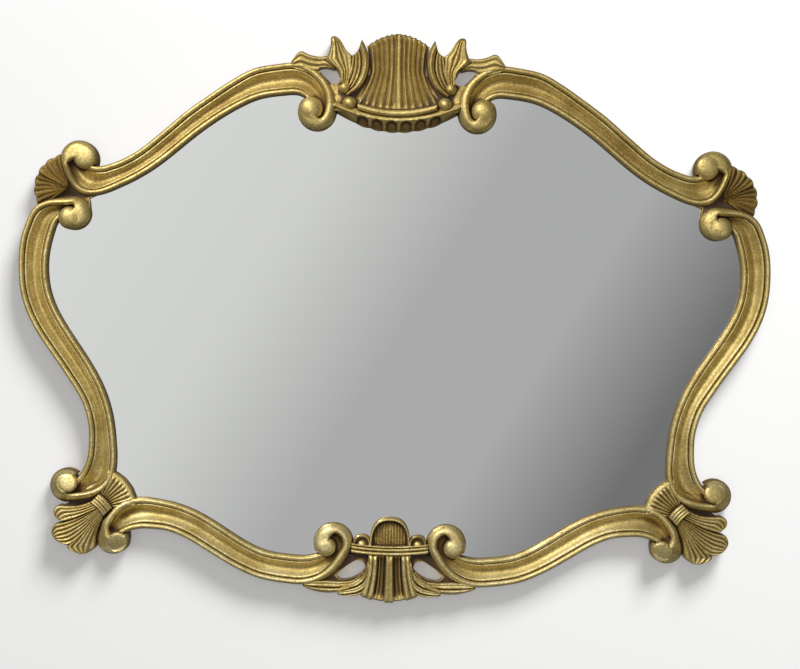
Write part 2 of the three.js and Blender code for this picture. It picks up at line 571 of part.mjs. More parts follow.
function frameSolid(sectionsOfRails) {
  const ground = (shape, depth) => toSolid(slab(shape, -BACK_ALLOWANCE, depth + BACK_ALLOWANCE));
  const cornerGrounds = ({ outline, depth }) => [1, -1].map((side) => (
    ground(shapeOf(outline.map(([u, z]) => [side * u, z])), depth)));
  const eyes = RAILS.flatMap(({ start, end }) => [start, end]).flatMap(({ eye, eyeRadius }) => (
    bosses({ centre: eye, radius: eyeRadius, depth: EYE_DEPTH }, EYE_SIDES, QUIRK_DEPTH)));
  const pieces = [
    ...sectionsOfRails.flatMap((sections) => bothSides(railRows(sections))),
    ...eyes,
    carving(shellRows()),
    ...bothSides(leafRows(WING)),
    ...bothSides(leafRows(UPRIGHT_LEAF)),
    ...bothSides(leafRows(SIDE_LEAF)),
    ...bosses(UPPER_PEARL, PEARL_SIDES, PEARL_SPRING),
    ...bosses(LOWER_PEARL, PEARL_SIDES, PEARL_SPRING),
    carving(smileBarRows()),
    carving(fringeRows()),
    ground(symmetricShape(CREST_GROUND.outline), CREST_GROUND.depth),
    carving(lunetteRows()),
    ...bothSides(lunetteLobeRows()),
    carving(reededBandRows()),
    carving(apronFanRows()),
    ...bothSides(leafRows(APRON_LEAF_NEAR)),
    ...bothSides(leafRows(APRON_LEAF_FAR)),
    ground(symmetricShape(APRON_GROUND.outline), APRON_GROUND.depth),
    ...cornerGrounds(TOP_CORNER_GROUND),
    ...cornerGrounds(BOTTOM_CORNER_GROUND),
    ...bothSides(fanRows(TOP_CORNER_FAN)),
    ...bothSides(fanRows(INNER_FAN)),
    ...bothSides(cornerLeafRows()),
    ...bothSides(tieRows()),
  ];
  const cuts = [
    toSolid(new THREE.BoxGeometry(...PLANING).translate(0, PLANING[1] / 2, 0)),
    ...[1, -1].flatMap((side) => [ovalCut(CREST_HOLE, side), ovalCut(APRON_HOLE, side)]),
    toSolid(slab(symmetricShape(paneOutline(sectionsOfRails, REBATE.clearance)), -BACK_ALLOWANCE,
      REBATE.depth + BACK_ALLOWANCE)),
    toSolid(slab(plateShape(FIT), -BACK_ALLOWANCE, PLATE.thickness + FIT + BACK_ALLOWANCE)),
    toSolid(keyPocket()),
    ...PLATE_SCREW.heights.map((height) => screwSolid(height, FIT)),
  ];
  const joined = pieces.reduce((whole, piece) => whole.add(piece));
  return cuts.reduce((whole, cut) => whole.subtract(cut), joined);
}

function plateSolid() {
  const shape = plateShape(0);
  shape.holes.push(keyholePath());
  const plate = toSolid(slab(shape, 0, PLATE.thickness));
  return PLATE_SCREW.heights.reduce((whole, height) => whole.subtract(screwSolid(height, FIT)), plate);
}

function toGeometry(solid) {
  const { vertProperties, triVerts } = solid.getMesh();
  const geometry = new THREE.BufferGeometry();
  geometry.setAttribute('position', new THREE.BufferAttribute(vertProperties, 3));
  geometry.setIndex(new THREE.BufferAttribute(triVerts, 1));
  geometry.computeVertexNormals();
  return geometry;
}

const giltWood = new THREE.MeshStandardMaterial({ color: 0xb59a4a, metalness: 0.85, roughness: 0.42 });
const silveredGlass = new THREE.MeshStandardMaterial({ color: 0xd6d8d8, metalness: 1, roughness: 0.03 });
const hardboard = new THREE.MeshStandardMaterial({ color: 0x7a5a3a, metalness: 0, roughness: 0.85 });
const zincSteel = new THREE.MeshStandardMaterial({ color: 0xb4b6b8, metalness: 1, roughness: 0.35 });

function named(name, geometry, material) {
  const mesh = new THREE.Mesh(geometry, material);
  mesh.name = name;
  return mesh;
}

const sectionsOfRails = RAILS.map(railSections);
const paneShape = symmetricShape(paneOutline(sectionsOfRails, 0));
const mirror = new THREE.Group();
mirror.add(
  named('carved_frame', toGeometry(frameSolid(sectionsOfRails)), giltWood),
  named('mirror_glass', slab(paneShape, PANE.behind, PANE.thickness), silveredGlass),
  named('backing_board', slab(paneShape, BOARD.behind, BOARD.thickness), hardboard),
  named('hanger_plate', toGeometry(plateSolid()), zincSteel),
  named('hanger_screw_upper', toGeometry(screwSolid(PLATE_SCREW.heights[0], 0)), zincSteel),
  named('hanger_screw_lower', toGeometry(screwSolid(PLATE_SCREW.heights[1], 0)), zincSteel),
);
mirror.position.z = -BEARING_HEIGHT;
const part = new THREE.Group();
part.add(mirror);

export default part;
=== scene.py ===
"""A gilded scroll-framed wall mirror, carved in detail around its drawn parts and lit in a plain studio.

Sizes are in millimetres on a drawing of the front: u runs across from the upright axis, z up from the
middle of the pane and depth forward from the flat back. The drawing's hanging point is the origin of the
shared frame.
"""

import json
import logging
import math
from abc import ABC, abstractmethod
from collections.abc import Callable, Sequence
from dataclasses import dataclass, field
from enum import Enum

import bpy
import numpy as np
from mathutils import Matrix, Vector
from mathutils.bvhtree import BVHTree

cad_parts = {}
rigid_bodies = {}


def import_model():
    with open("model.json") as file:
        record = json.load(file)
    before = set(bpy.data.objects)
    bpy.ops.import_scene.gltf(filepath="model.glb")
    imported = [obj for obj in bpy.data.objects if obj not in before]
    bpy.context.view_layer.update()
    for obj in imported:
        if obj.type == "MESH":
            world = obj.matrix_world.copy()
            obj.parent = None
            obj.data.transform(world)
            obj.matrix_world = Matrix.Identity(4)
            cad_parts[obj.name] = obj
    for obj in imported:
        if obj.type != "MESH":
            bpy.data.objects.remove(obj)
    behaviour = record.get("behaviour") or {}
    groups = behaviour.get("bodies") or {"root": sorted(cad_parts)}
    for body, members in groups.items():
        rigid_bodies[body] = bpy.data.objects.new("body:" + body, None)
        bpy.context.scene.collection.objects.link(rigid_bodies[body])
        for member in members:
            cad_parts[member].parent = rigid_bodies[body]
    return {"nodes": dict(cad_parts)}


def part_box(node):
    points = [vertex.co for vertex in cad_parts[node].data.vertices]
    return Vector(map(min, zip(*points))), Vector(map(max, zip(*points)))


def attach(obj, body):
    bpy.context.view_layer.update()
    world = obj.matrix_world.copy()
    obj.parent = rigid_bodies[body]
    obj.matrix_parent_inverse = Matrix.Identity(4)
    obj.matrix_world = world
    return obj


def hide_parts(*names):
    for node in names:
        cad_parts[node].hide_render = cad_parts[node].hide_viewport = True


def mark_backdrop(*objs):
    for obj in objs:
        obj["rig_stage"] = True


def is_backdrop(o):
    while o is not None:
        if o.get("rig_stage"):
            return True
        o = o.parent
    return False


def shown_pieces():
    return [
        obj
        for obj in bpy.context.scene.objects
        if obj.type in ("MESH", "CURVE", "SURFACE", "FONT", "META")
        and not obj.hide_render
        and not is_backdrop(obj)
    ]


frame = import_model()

log = logging.getLogger("mirror")

Point = tuple[float, float]
Span = tuple[float, float]

MM = 0.001
BEARING_HEIGHT = 341.0
BACK_ALLOWANCE = 1.0
FINE = 0.85


class Rim(Enum):
    """Which edge of a rail curls into its volute."""

    OUTER = "outer"
    INNER = "inner"


class Step(Enum):
    """What is done to a solid with other solids."""

    JOIN = "UNION"
    CUT = "DIFFERENCE"


class Layer(Enum):
    """What the gilding reads at each vertex of the carving."""

    HOLLOW = "hollow"
    CREASE = "crease"
    SIDE = "side"


class Half(Enum):
    """Which side of the upright axis a carving lies on."""

    RIGHT = 1.0
    LEFT = -1.0


def mix(a: float, b: float, t: np.ndarray | float) -> np.ndarray | float:
    """Value between a and b at the fraction t."""
    return a + (b - a) * t


def ease(t: np.ndarray | float) -> np.ndarray | float:
    """Fraction t, limited to 0 to 1, with a soft start and end."""
    t = np.clip(t, 0.0, 1.0)
    return t * t * (3.0 - 2.0 * t)


def quarter_round(t: np.ndarray | float, fullness: float = 2.0) -> np.ndarray | float:
    """Rise of a quarter round from 0 to 1 with t, a circle at a fullness of 2 and squarer above it."""
    return (1.0 - (1.0 - np.clip(t, 0.0, 1.0)) ** fullness) ** (1.0 / fullness)


def half_round(t: np.ndarray | float) -> np.ndarray | float:
    """Rise of a half round, 0 at a t of -1 or 1 and 1 at its crown in the middle."""
    return np.sqrt(np.clip(1.0 - t ** 2, 0.0, 1.0))


def rolled(left: np.ndarray, drop: float) -> np.ndarray:
    """How far a surface drops at its edge, by the fraction of the roll's width that is left before it."""
    return drop * (1.0 - quarter_round(left))


def smooth_max(a: np.ndarray, b: np.ndarray, soft: float) -> np.ndarray:
    """The larger of two surfaces, with their meeting line rounded over a soft width."""
    share = np.clip(0.5 + 0.5 * (a - b) / soft, 0.0, 1.0)
    return b + (a - b) * share + soft * share * (1.0 - share)


def polar(centre: Point, radius: np.ndarray | float, degrees: np.ndarray | float) -> tuple:
    """The u and z of points at a radius and angle about a centre."""
    angle = np.radians(degrees)
    return centre[0] + radius * np.cos(angle), centre[1] + radius * np.sin(angle)


def through(points: Sequence[Sequence[float]], places: np.ndarray) -> np.ndarray:
    """A smooth curve through waypoints, by the number of waypoints passed.

    Args:
        points: Waypoints in order.
        places: Places along the curve, 0 at the first waypoint and 1 at the next.

    Returns:
        The points of the curve, one row for each place.
    """
    knots = np.asarray(points, float)
    padded = np.vstack((knots[:1], knots, knots[-1:]))
    passed = np.minimum(places.astype(int), len(knots) - 2)
    f = (places - passed)[:, None]
    p0, p1, p2, p3 = (padded[passed + i] for i in range(4))
    bend = p0 - 2.5 * p1 + 2.0 * p2 - 0.5 * p3 + f * (1.5 * (p1 - p2) + 0.5 * (p3 - p0))
    return p1 + f * ((p2 - p0) / 2.0 + f * bend)


def even_curve(points: Sequence[Point], count: int) -> np.ndarray:
    """A smooth curve through waypoints, as points at even distances.

    Args:
        points: Waypoints in order.
        count: How many points to return.

    Returns:
        An array of count rows of u and z.
    """
    fine = through(points, np.linspace(0.0, len(points) - 1.0, 60 * len(points)))
    run = np.concatenate(([0.0], np.cumsum(np.hypot(*np.diff(fine, axis=0).T))))
    places = np.linspace(0.0, run[-1], count)
    return np.column_stack([np.interp(places, run, fine[:, k]) for k in range(2)])


def evened(points: np.ndarray, reach: int) -> np.ndarray:
    """A row of points with its bends eased over its neighbours and its ends kept.

    Args:
        points: The points in order.
        reach: How many neighbours on each side share in a bend.

    Returns:
        As many points, on a smoother line.
    """
    before = 2.0 * points[0] - points[reach:0:-1]
    after = 2.0 * points[-1] - points[-2:-reach - 2:-1]
    wide = np.vstack((before, points, after))
    weights = reach + 1.0 - np.abs(np.arange(-reach, reach + 1))
    weights = weights / weights.sum()
    return np.column_stack([np.convolve(wide[:, k], weights, "valid") for k in range(2)])


def lattice(along: int, across: int) -> tuple[np.ndarray, np.ndarray]:
    """Fractions along and across a surface, fine enough for the finish wanted."""
    return (np.linspace(0.0, 1.0, max(2, round(along * FINE)) + 1)[:, None],
            np.linspace(0.0, 1.0, max(2, round(across * FINE)) + 1)[None, :])


def surface(u: np.ndarray, z: np.ndarray, depth: np.ndarray) -> np.ndarray:
    """Rows of points from their three coordinates on the drawing."""
    return np.stack(np.broadcast_arrays(u, z, depth), axis=-1).astype(float)


def mirrored(rows: np.ndarray, half: Half) -> np.ndarray:
    """The same rows on the given side of the upright axis."""
    return rows * np.array([half.value, 1.0, 1.0])


def folded(depths: Sequence[float], across: np.ndarray) -> np.ndarray:
    """Depths across a leaf through the given folds, round at the high ones and sharp at the low ones.

    Args:
        depths: Depth at each fold, in order across.
        across: Fractions across the leaf.

    Returns:
        The depth at each fraction.
    """
    place = across * (len(depths) - 1)
    left = np.minimum(place.astype(int), len(depths) - 2)
    values = np.asarray(depths, float)
    step = values[left + 1] - values[left]
    turn = np.pi / 2.0 * (place - left)
    return values[left] + step * np.where(step > 0.0, np.sin(turn), 1.0 - np.cos(turn))


def place_on_frame(points: np.ndarray) -> np.ndarray:
    """Points of the drawing as metres in the shared frame."""
    return np.column_stack((points[:, 0], -points[:, 2], points[:, 1] - BEARING_HEIGHT)) * MM


def clear_selection() -> None:
    """Leaves object mode with nothing selected."""
    if bpy.context.object and bpy.context.object.mode != "OBJECT":
        bpy.ops.object.mode_set(mode="OBJECT")
    bpy.ops.object.select_all(action="DESELECT")


def pick(piece: bpy.types.Object) -> None:
    """Makes one object the only selected one and the active one.

    Args:
        piece: The object.
    """
    clear_selection()
    piece.select_set(True)
    bpy.context.view_layer.objects.active = piece


def close_behind() -> None:
    """Extrudes the sheet in edit mode back to the planing line and turns its faces out."""
    bpy.ops.mesh.select_all(action="SELECT")
    bpy.ops.mesh.extrude_region_move(TRANSFORM_OT_translate={"value": (0.0, 0.01, 0.0)})
    bpy.ops.transform.resize(value=(1.0, 0.0, 1.0), center_override=(0.0, BACK_ALLOWANCE * MM, 0.0))
    bpy.ops.mesh.select_all(action="SELECT")
    bpy.ops.mesh.normals_make_consistent(inside=False)


def vertex_places(piece: bpy.types.Object) -> np.ndarray:
    """Rows of x, y and z of a mesh's vertices.

    Args:
        piece: The mesh object.

    Returns:
        One row for each vertex.
    """
    places = np.empty(3 * len(piece.data.vertices))
    piece.data.vertices.foreach_get("co", places)
    return places.reshape(-1, 3)


def carve(name: str, rows: np.ndarray) -> bpy.types.Object:
    """A carving from a grid that takes the given front and is extruded to the back.

    Args:
        name: Name of the new object.
        rows: Front surface as rows of u, z and depth.

    Returns:
        The closed carving, with an allowance behind for planing the back flat.
    """
    along, across = rows.shape[0] - 1, rows.shape[1] - 1
    clear_selection()
    bpy.ops.mesh.primitive_grid_add(x_subdivisions=across, y_subdivisions=along, size=2.0)
    block = bpy.context.active_object
    block.name = name
    places = vertex_places(block)
    column = np.rint((places[:, 0] + 1.0) / 2.0 * across).astype(int)
    row = np.rint((places[:, 1] + 1.0) / 2.0 * along).astype(int)
    block.data.vertices.foreach_set("co", place_on_frame(rows[row, column]).ravel())
    bpy.ops.object.mode_set(mode="EDIT")
    close_behind()
    bpy.ops.object.mode_set(mode="OBJECT")
    return block


def slab(name: str, outline: np.ndarray, depth: float) -> bpy.types.Object:
    """A flat ground or a cutter from a filled ring that takes the outline and is extruded to the back.

    Args:
        name: Name of the new object.
        outline: Corners of the outline as rows of u and z.
        depth: Depth of the flat front.

    Returns:
        The closed slab.
    """
    clear_selection()
    bpy.ops.mesh.primitive_circle_add(vertices=len(outline), radius=1.0, fill_type="NGON")
    block = bpy.context.active_object
    block.name = name
    front = np.column_stack((outline, np.full(len(outline), depth)))
    block.data.vertices.foreach_set("co", place_on_frame(front).ravel())
    bpy.ops.object.mode_set(mode="EDIT")
    close_behind()
    bpy.ops.object.mode_set(mode="OBJECT")
    return block


def carve_pairs(name: str, fronts: Sequence[np.ndarray]) -> list[bpy.types.Object]:
    """Carvings of the given fronts on both sides of the upright axis."""
    return [carve(name, mirrored(front, half)) for front in fronts for half in Half]


def slab_pair(name: str, outline: Sequence[Point] | np.ndarray, depth: float) -> list[bpy.types.Object]:
    """Slabs of an outline on both sides of the upright axis."""
    return [slab(name, np.asarray(outline, float) * (half.value, 1.0), depth) for half in Half]


def closed_curve(points: Sequence[Point], count: int) -> np.ndarray:
    """A smooth closed outline through waypoints, as corners in order.

    Args:
        points: Waypoints in order.
        count: How many corners to return.

    Returns:
        Rows of u and z.
    """
    ring = [*points[-2:], *points, *points[:3]]
    places = np.linspace(2.0, 2.0 + len(points), count, endpoint=False)
    return through(ring, places)


def disc_rows(centre: Point, radius: float, steps: int,
              height: Callable[[np.ndarray], np.ndarray]) -> np.ndarray:
    """Rows of a round boss, by its depth at each radius.

    Args:
        centre: Middle of the boss on the drawing.
        radius: Radius of the boss.
        steps: Faces across it.
        height: Function from distance to depth.

    Returns:
        Rows whose edge is the boss's round edge.
    """
    t, a = lattice(steps, steps)
    x, y = 2.0 * t - 1.0, 2.0 * a - 1.0
    u, z = x * np.sqrt(1.0 - y * y / 2.0), y * np.sqrt(1.0 - x * x / 2.0)
    away = np.minimum(np.hypot(u, z), 1.0)
    stretched = np.sin(np.pi / 2.0 * away) / np.maximum(away, 1e-9)
    return surface(centre[0] + radius * u * stretched, centre[1] + radius * z * stretched,
                   height(radius * away * stretched))


def boolean(piece: bpy.types.Object, others: list[bpy.types.Object], operation: Step) -> None:
    """Joins other solids to a piece or cuts them from it, and removes them.

    Args:
        piece: The solid that is kept.
        others: The solids that are used up.
        operation: Whether they are joined or cut.
    """
    tools = bpy.data.collections.new("tools")
    bpy.context.scene.collection.children.link(tools)
    for other in others:
        tools.objects.link(other)
    pick(piece)
    step = piece.modifiers.new("step", "BOOLEAN")
    step.operation = operation.value
    step.operand_type = "COLLECTION"
    step.collection = tools
    step.solver = "MANIFOLD"
    bpy.ops.object.modifier_apply(modifier=step.name)
    for other in others:
        bpy.data.objects.remove(other)
    bpy.data.collections.remove(tools)


@dataclass(frozen=True)
class Bead:
    """A bead or fillet, by its width and how far it stands from the back."""

    width: float
    depth: float


@dataclass(frozen=True)
class Volute:
    """The curled end of a rail: a disc, its raised eye and the angles where its channel runs."""

    centre: Point
    radius: float
    eye: Point
    eye_radius: float
    mouth: float
    tip: float
    close: float
    pull: float
    bead: float
    eye_depth: float = 31.0
    flatness: float = 2.2
    chamfer: float = 0.0
    hub: float = 3.0
    swell: float = 11.0
    lean: Point = (0.0, 0.0)

    @property
    def turn(self) -> float:
        """Sense in which the angle grows from the closed part to the mouth."""
        return math.copysign(1.0, self.mouth - self.close)

    def section(self, degrees: float) -> tuple[np.ndarray, np.ndarray, float]:
        """One section of the curl.

        Args:
            degrees: Angle on the disc.

        Returns:
            The point on the rim, the point by the eye and the distance from the channel's tip.
        """
        rim = np.array(polar(self.centre, self.radius, degrees))
        eye = np.array(self.eye)
        inner = eye + (rim - eye) * self.hub / np.hypot(*(rim - eye))
        return rim, inner, self.radius * math.radians(degrees - self.tip) * self.turn

    def dome(self, offset: np.ndarray, spring: float) -> np.ndarray:
        """Depth of the eye at offsets from its middle, springing from the given depth at its edge.

        Args:
            offset: Offsets in u and z from the eye's middle.
            spring: Depth at the eye's edge.

        Returns:
            The depths, far behind the back outside the eye.
        """
        away = np.hypot(offset[..., 0], offset[..., 1])
        share = np.clip(away / self.eye_radius, 0.0, 1.0) ** self.flatness
        rise = np.clip(1.0 - share, 0.0, 1.0) ** (1.0 / self.flatness)
        top = self.eye_depth + offset @ np.array(self.lean)
        return np.where(away < self.eye_radius, mix(spring, top, rise), -50.0)


@dataclass
class Section:
    """One cut across a rail: its two edges, its two beads and how far its channel has closed."""

    outer: np.ndarray
    inner: np.ndarray
    outer_bead: Bead
    inner_bead: Bead
    rim: Rim
    closed: float = 0.0
    plain: float = 1.0
    volute: Volute | None = None

    @property
    def width(self) -> float:
        """Distance between the edges."""
        return float(np.hypot(*(self.inner - self.outer)))


@dataclass(frozen=True)
class Moulding:
    """Profile shared by the rails: bead, quirk, fillet, cove, fillet, quirk and inner bead."""

    foot: float = 10.0
    quirk_depth: float = 19.2
    quirk_width: float = 0.9
    outer_bead: Bead = Bead(8.2, 25.0)
    inner_bead: Bead = Bead(7.2, 22.8)
    outer_fillet: Bead = Bead(2.8, 21.6)
    inner_fillet: Bead = Bead(2.0, 20.6)
    fillet_round: float = 0.7
    cove_depth: float = 9.0
    cove_share: float = 0.44
    cove_sharpness: float = 0.9
    curl_depth: float = 27.5
    curl_narrowest: float = 4.0
    channel_opens_over: float = 10.0
    channel_share: float = 0.5
    fillets_least: float = 0.1
    cone_foot: float = 13.0
    bead_fullness: float = 2.4
    curl_crown: float = 0.66
    curl_fullness: float = 1.7
    eye_stands: float = 1.0
    bead_most: float = 0.62
    least_cove: float = 1.0
    eye_spring: float = 18.0
    eye_softness: tuple[float, float] = (0.6, 2.0)
    eye_tuck: float = 0.84
    eye_sinks: float = 1.2
    cone_softness: float = 0.8
    steps: tuple[int, ...] = (10, 2, 3, 12, 3, 2, 9)

    def parts(self, section: Section) -> list[float]:
        """Widths of the seven parts of the profile, fitted to a section.

        Args:
            section: The cut to fit.

        Returns:
            The widths from the outer edge to the inner one.
        """
        width = section.width
        outer = min(section.outer_bead.width, self.bead_most * width)
        inner = min(section.inner_bead.width, self.bead_most * width, width - outer - self.least_cove)
        small = [self.quirk_width, self.outer_fillet.width, self.inner_fillet.width, self.quirk_width]
        room = width - outer - inner
        fit = min(1.0, 0.5 * room / sum(small)) * mix(self.fillets_least, 1.0, section.plain)
        small = [fit * part for part in small]
        return [outer, small[0], small[1], room - sum(small), small[2], small[3], inner]

    def insets(self, section: Section) -> np.ndarray:
        """Distances from the outer edge at which a section is carved, closer together on the beads.

        Args:
            section: The cut to carve.

        Returns:
            Distances from 0 to the section's width.
        """
        start, marks = 0.0, [np.zeros(1)]
        for index, (part, steps) in enumerate(zip(self.parts(section), self.steps)):
            count = max(1, round(steps * FINE))
            share = np.arange(1, count + 1) / count
            if index in (0, 6):
                share = (1.0 - np.cos(np.pi * share)) / 2.0
            marks.append(start + part * share)
            start += part
        return np.concatenate(marks)

    def bead_depth(self, inset: np.ndarray, bead: Bead, plain: float) -> np.ndarray:
        """Depth of a bead by the distance in from its edge, its crown nearer the channel where it curls.

        Args:
            inset: Distances in from the bead's edge.
            bead: The bead's width and depth.
            plain: 1 on the plain rail, 0 in the curl.

        Returns:
            The depths.
        """
        crown = bead.width * mix(self.curl_crown, 0.5, plain)
        fullness = mix(self.curl_fullness, self.bead_fullness, plain)
        rise = mix(self.foot, bead.depth, quarter_round(inset / crown, fullness))
        fall = mix(self.quirk_depth, bead.depth,
                   quarter_round((bead.width - inset) / (bead.width - crown), self.bead_fullness))
        return np.where(inset < crown, rise, fall)

    def swell_depth(self, inset: np.ndarray, width: float, section: Section) -> np.ndarray:
        """Depth where a volute has closed and its rim swells straight into the eye.

        Args:
            inset: Distances in from the curling edge.
            width: Width of the section.
            section: The cut to carve.

        Returns:
            The depths.
        """
        bead = section.outer_bead if section.rim is Rim.OUTER else section.inner_bead
        reach = min(section.volute.swell, 0.6 * width)
        rise = mix(self.foot, bead.depth, quarter_round(inset / reach) ** 0.8)
        share = np.clip((inset - reach) / max(width - reach, 0.1), 0.0, 1.0)
        top = section.volute.eye_depth - self.eye_stands
        swell = np.where(inset < reach, rise, mix(bead.depth, top, np.sin(np.pi / 2.0 * share)))
        slope = max(width + section.volute.hub - section.volute.eye_radius, 1.0)
        cone = mix(self.cone_foot, top, np.clip(inset / slope, 0.0, 1.0) ** 0.9)
        return mix(swell, cone, section.volute.chamfer)

    def open_depth(self, section: Section, inset: np.ndarray) -> np.ndarray:
        """Depth across a section whose channel is open.

        Args:
            section: The cut to carve.
            inset: Distances from the outer edge.

        Returns:
            The depths.
        """
        width = section.width
        ends = np.cumsum(self.parts(section))
        outer_bead = Bead(ends[0], section.outer_bead.depth)
        inner_bead = Bead(width - ends[5], section.inner_bead.depth)
        cove = np.clip((inset - ends[2]) / max(ends[3] - ends[2], 0.01), 0.0, 1.0)
        share = mix(self.channel_share, self.cove_share, section.plain)
        hollow = min(self.cove_depth, share * (ends[3] - ends[2]))
        edges = [mix(self.quirk_depth, fillet.depth, section.plain)
                 for fillet in (self.outer_fillet, self.inner_fillet)]
        depth = mix(*edges, cove)
        depth = depth - hollow * np.sin(np.pi * cove) ** self.cove_sharpness
        for low, high in ((ends[1], ends[2]), (ends[3], ends[4])):
            middle = (2.0 * inset - low - high) / max(high - low, 0.01)
            depth = np.where((inset >= low) & (inset <= high), depth - self.fillet_round * middle ** 2, depth)
        in_quirk = (inset < ends[1] - 1e-6) | (inset > ends[4] + 1e-6)
        depth = np.where(in_quirk, self.quirk_depth, depth)
        plain = {rim: section.plain if rim is section.rim else 1.0 for rim in Rim}
        depth = np.where(inset <= ends[0], self.bead_depth(inset, outer_bead, plain[Rim.OUTER]), depth)
        return np.where(inset >= ends[5], self.bead_depth(width - inset, inner_bead, plain[Rim.INNER]), depth)

    def row(self, section: Section) -> np.ndarray:
        """Points across one section.

        Args:
            section: The cut to carve.

        Returns:
            Rows of u, z and depth from the outer edge to the inner one.
        """
        inset, width = self.insets(section), section.width
        points = section.outer + np.outer(inset / width, section.inner - section.outer)
        depth = self.open_depth(section, inset)
        if section.volute:
            from_rim = inset if section.rim is Rim.OUTER else width - inset
            offset = points - np.array(section.volute.eye)
            tilt = offset @ np.array(section.volute.lean) * ease(from_rim / section.volute.swell)
            depth = mix(depth, self.swell_depth(from_rim, width, section) + tilt, section.closed)
            # Where the channel is open the eye's own disc gives the clean edge, so the rail keeps inside it
            inside = mix(self.eye_tuck, 1.0, section.closed)
            dome = section.volute.dome(offset / inside, self.eye_spring)
            dome = dome - self.eye_sinks * (1.0 - section.closed)
            soft = mix(*self.eye_softness, section.closed)
            depth = smooth_max(depth, dome, mix(soft, self.cone_softness, section.volute.chamfer))
        return np.column_stack((points, depth))


@dataclass(frozen=True)
class Rail:
    """One scrolled rail of the frame, from the volute at its start to the one at its end."""

    name: str
    run: tuple[Point, ...]
    widths: tuple[float, ...]
    inner_side: float
    start: Volute
    end: Volute
    tuck: float = 0.65
    easing: int = 9
    curl_steps: int = 30
    lead_steps: int = 18
    run_steps: int = 60

    def edges(self) -> tuple[np.ndarray, np.ndarray]:
        """Outer and inner edge at even steps of the run.

        Returns:
            Rows of u and z of each edge.
        """
        count = round(self.run_steps * FINE) + 1
        outer = even_curve(self.run, count)
        slope = np.gradient(even_curve(self.run, 20 * count), axis=0)
        pick_at = np.linspace(0, len(slope) - 1, count).astype(int)
        heading = slope[pick_at] / np.hypot(*slope[pick_at].T)[:, None]
        places = np.linspace(0.0, len(self.widths) - 1.0, count)
        widths = through([(width,) for width in self.widths], places)
        side = self.inner_side * np.column_stack((-heading[:, 1], heading[:, 0]))
        return outer, evened(outer + side * widths, round(self.easing * FINE))

    def curled(self, volute: Volute, rim_side: Rim, rim: np.ndarray, eye: np.ndarray, from_tip: float,
               lead: float, moulding: Moulding) -> Section:
        """One section of a volute or of the lead into it.

        Args:
            volute: The volute.
            rim_side: The edge of the rail that curls.
            rim: Point on the curling edge.
            eye: Point on the other edge.
            from_tip: Distance from the tip of the channel.
            lead: Fraction of the way from the volute's mouth to the plain rail.
            moulding: The rail's profile.

        Returns:
            The section.
        """
        plain = moulding.outer_bead if rim_side is Rim.OUTER else moulding.inner_bead
        other = moulding.inner_bead if rim_side is Rim.OUTER else moulding.outer_bead
        widest = max(np.hypot(*(rim - eye)) + volute.hub - volute.eye_radius, moulding.curl_narrowest)
        width = mix(widest, volute.bead, ease(from_tip / moulding.channel_opens_over))
        bead = Bead(float(mix(width, plain.width, ease(lead))),
                    float(mix(moulding.curl_depth, plain.depth, ease(lead))))
        closed = float(1.0 - ease(from_tip / moulding.channel_opens_over))
        plain_share = float(ease(lead))
        if rim_side is Rim.OUTER:
            return Section(rim, eye, bead, other, rim_side, closed, plain_share, volute)
        return Section(eye, rim, other, bead, rim_side, closed, plain_share, volute)

    def curl(self, volute: Volute, rim_side: Rim, moulding: Moulding) -> list[Section]:
        """Sections round a volute's disc, from where it closes to its mouth.

        Args:
            volute: The volute.
            rim_side: The edge of the rail that curls.
            moulding: The rail's profile.

        Returns:
            The sections in order to the mouth.
        """
        count = round(self.curl_steps * FINE)
        angles = np.linspace(volute.close, volute.mouth, count + 1)[:-1]
        return [self.curled(volute, rim_side, *volute.section(angle), 0.0, moulding) for angle in angles]

    def lead(self, volute: Volute, rim_side: Rim, rim_run: np.ndarray, eye_run: np.ndarray,
             moulding: Moulding) -> list[Section]:
        """Sections from a volute's mouth to the plain rail.

        Args:
            volute: The volute.
            rim_side: The edge of the rail that curls.
            rim_run: First two points of the curling edge on the plain rail.
            eye_run: First two points of the other edge on the plain rail.
            moulding: The rail's profile.

        Returns:
            The sections in order from the mouth.
        """
        rim_mouth, eye_mouth, tip_mouth = volute.section(volute.mouth)
        angle = math.radians(volute.mouth)
        heading = np.array([-math.sin(angle), math.cos(angle)]) * volute.turn
        rim_end, eye_end = rim_run[0], eye_run[0]
        outward, eye_outward = ((run[1] - run[0]) / np.hypot(*(run[1] - run[0]))
                                for run in (rim_run, eye_run))
        corner = eye_end - eye_outward * self.tuck * np.hypot(*(eye_end - np.array(volute.eye)))
        sections = []
        for t in np.linspace(0.0, 1.0, round(self.lead_steps * FINE) + 1)[:-1]:
            rim = ((2 * t ** 3 - 3 * t ** 2 + 1) * rim_mouth
                   + (t ** 3 - 2 * t ** 2 + t) * volute.pull * heading
                   + (3 * t ** 2 - 2 * t ** 3) * rim_end
                   + (t ** 3 - t ** 2) * volute.pull * outward)
            eye = mix(mix(eye_mouth, corner, t), mix(corner, eye_end, t), t)
            sections.append(self.curled(volute, rim_side, rim, eye, tip_mouth + t * volute.pull, t, moulding))
        return sections

    def rows(self, moulding: Moulding) -> np.ndarray:
        """Front surface of the whole rail.

        Args:
            moulding: The rail's profile.

        Returns:
            Rows of u, z and depth.
        """
        outer, inner = self.edges()
        sections = self.curl(self.start, Rim.OUTER, moulding)
        sections += self.lead(self.start, Rim.OUTER, outer[:2], inner[:2], moulding)
        sections += [Section(a, b, moulding.outer_bead, moulding.inner_bead, Rim.OUTER)
                     for a, b in zip(outer, inner)]
        last = self.lead(self.end, Rim.INNER, inner[:-3:-1], outer[:-3:-1], moulding)
        last = self.curl(self.end, Rim.INNER, moulding) + last
        return np.array([moulding.row(section) for section in sections + last[::-1]])


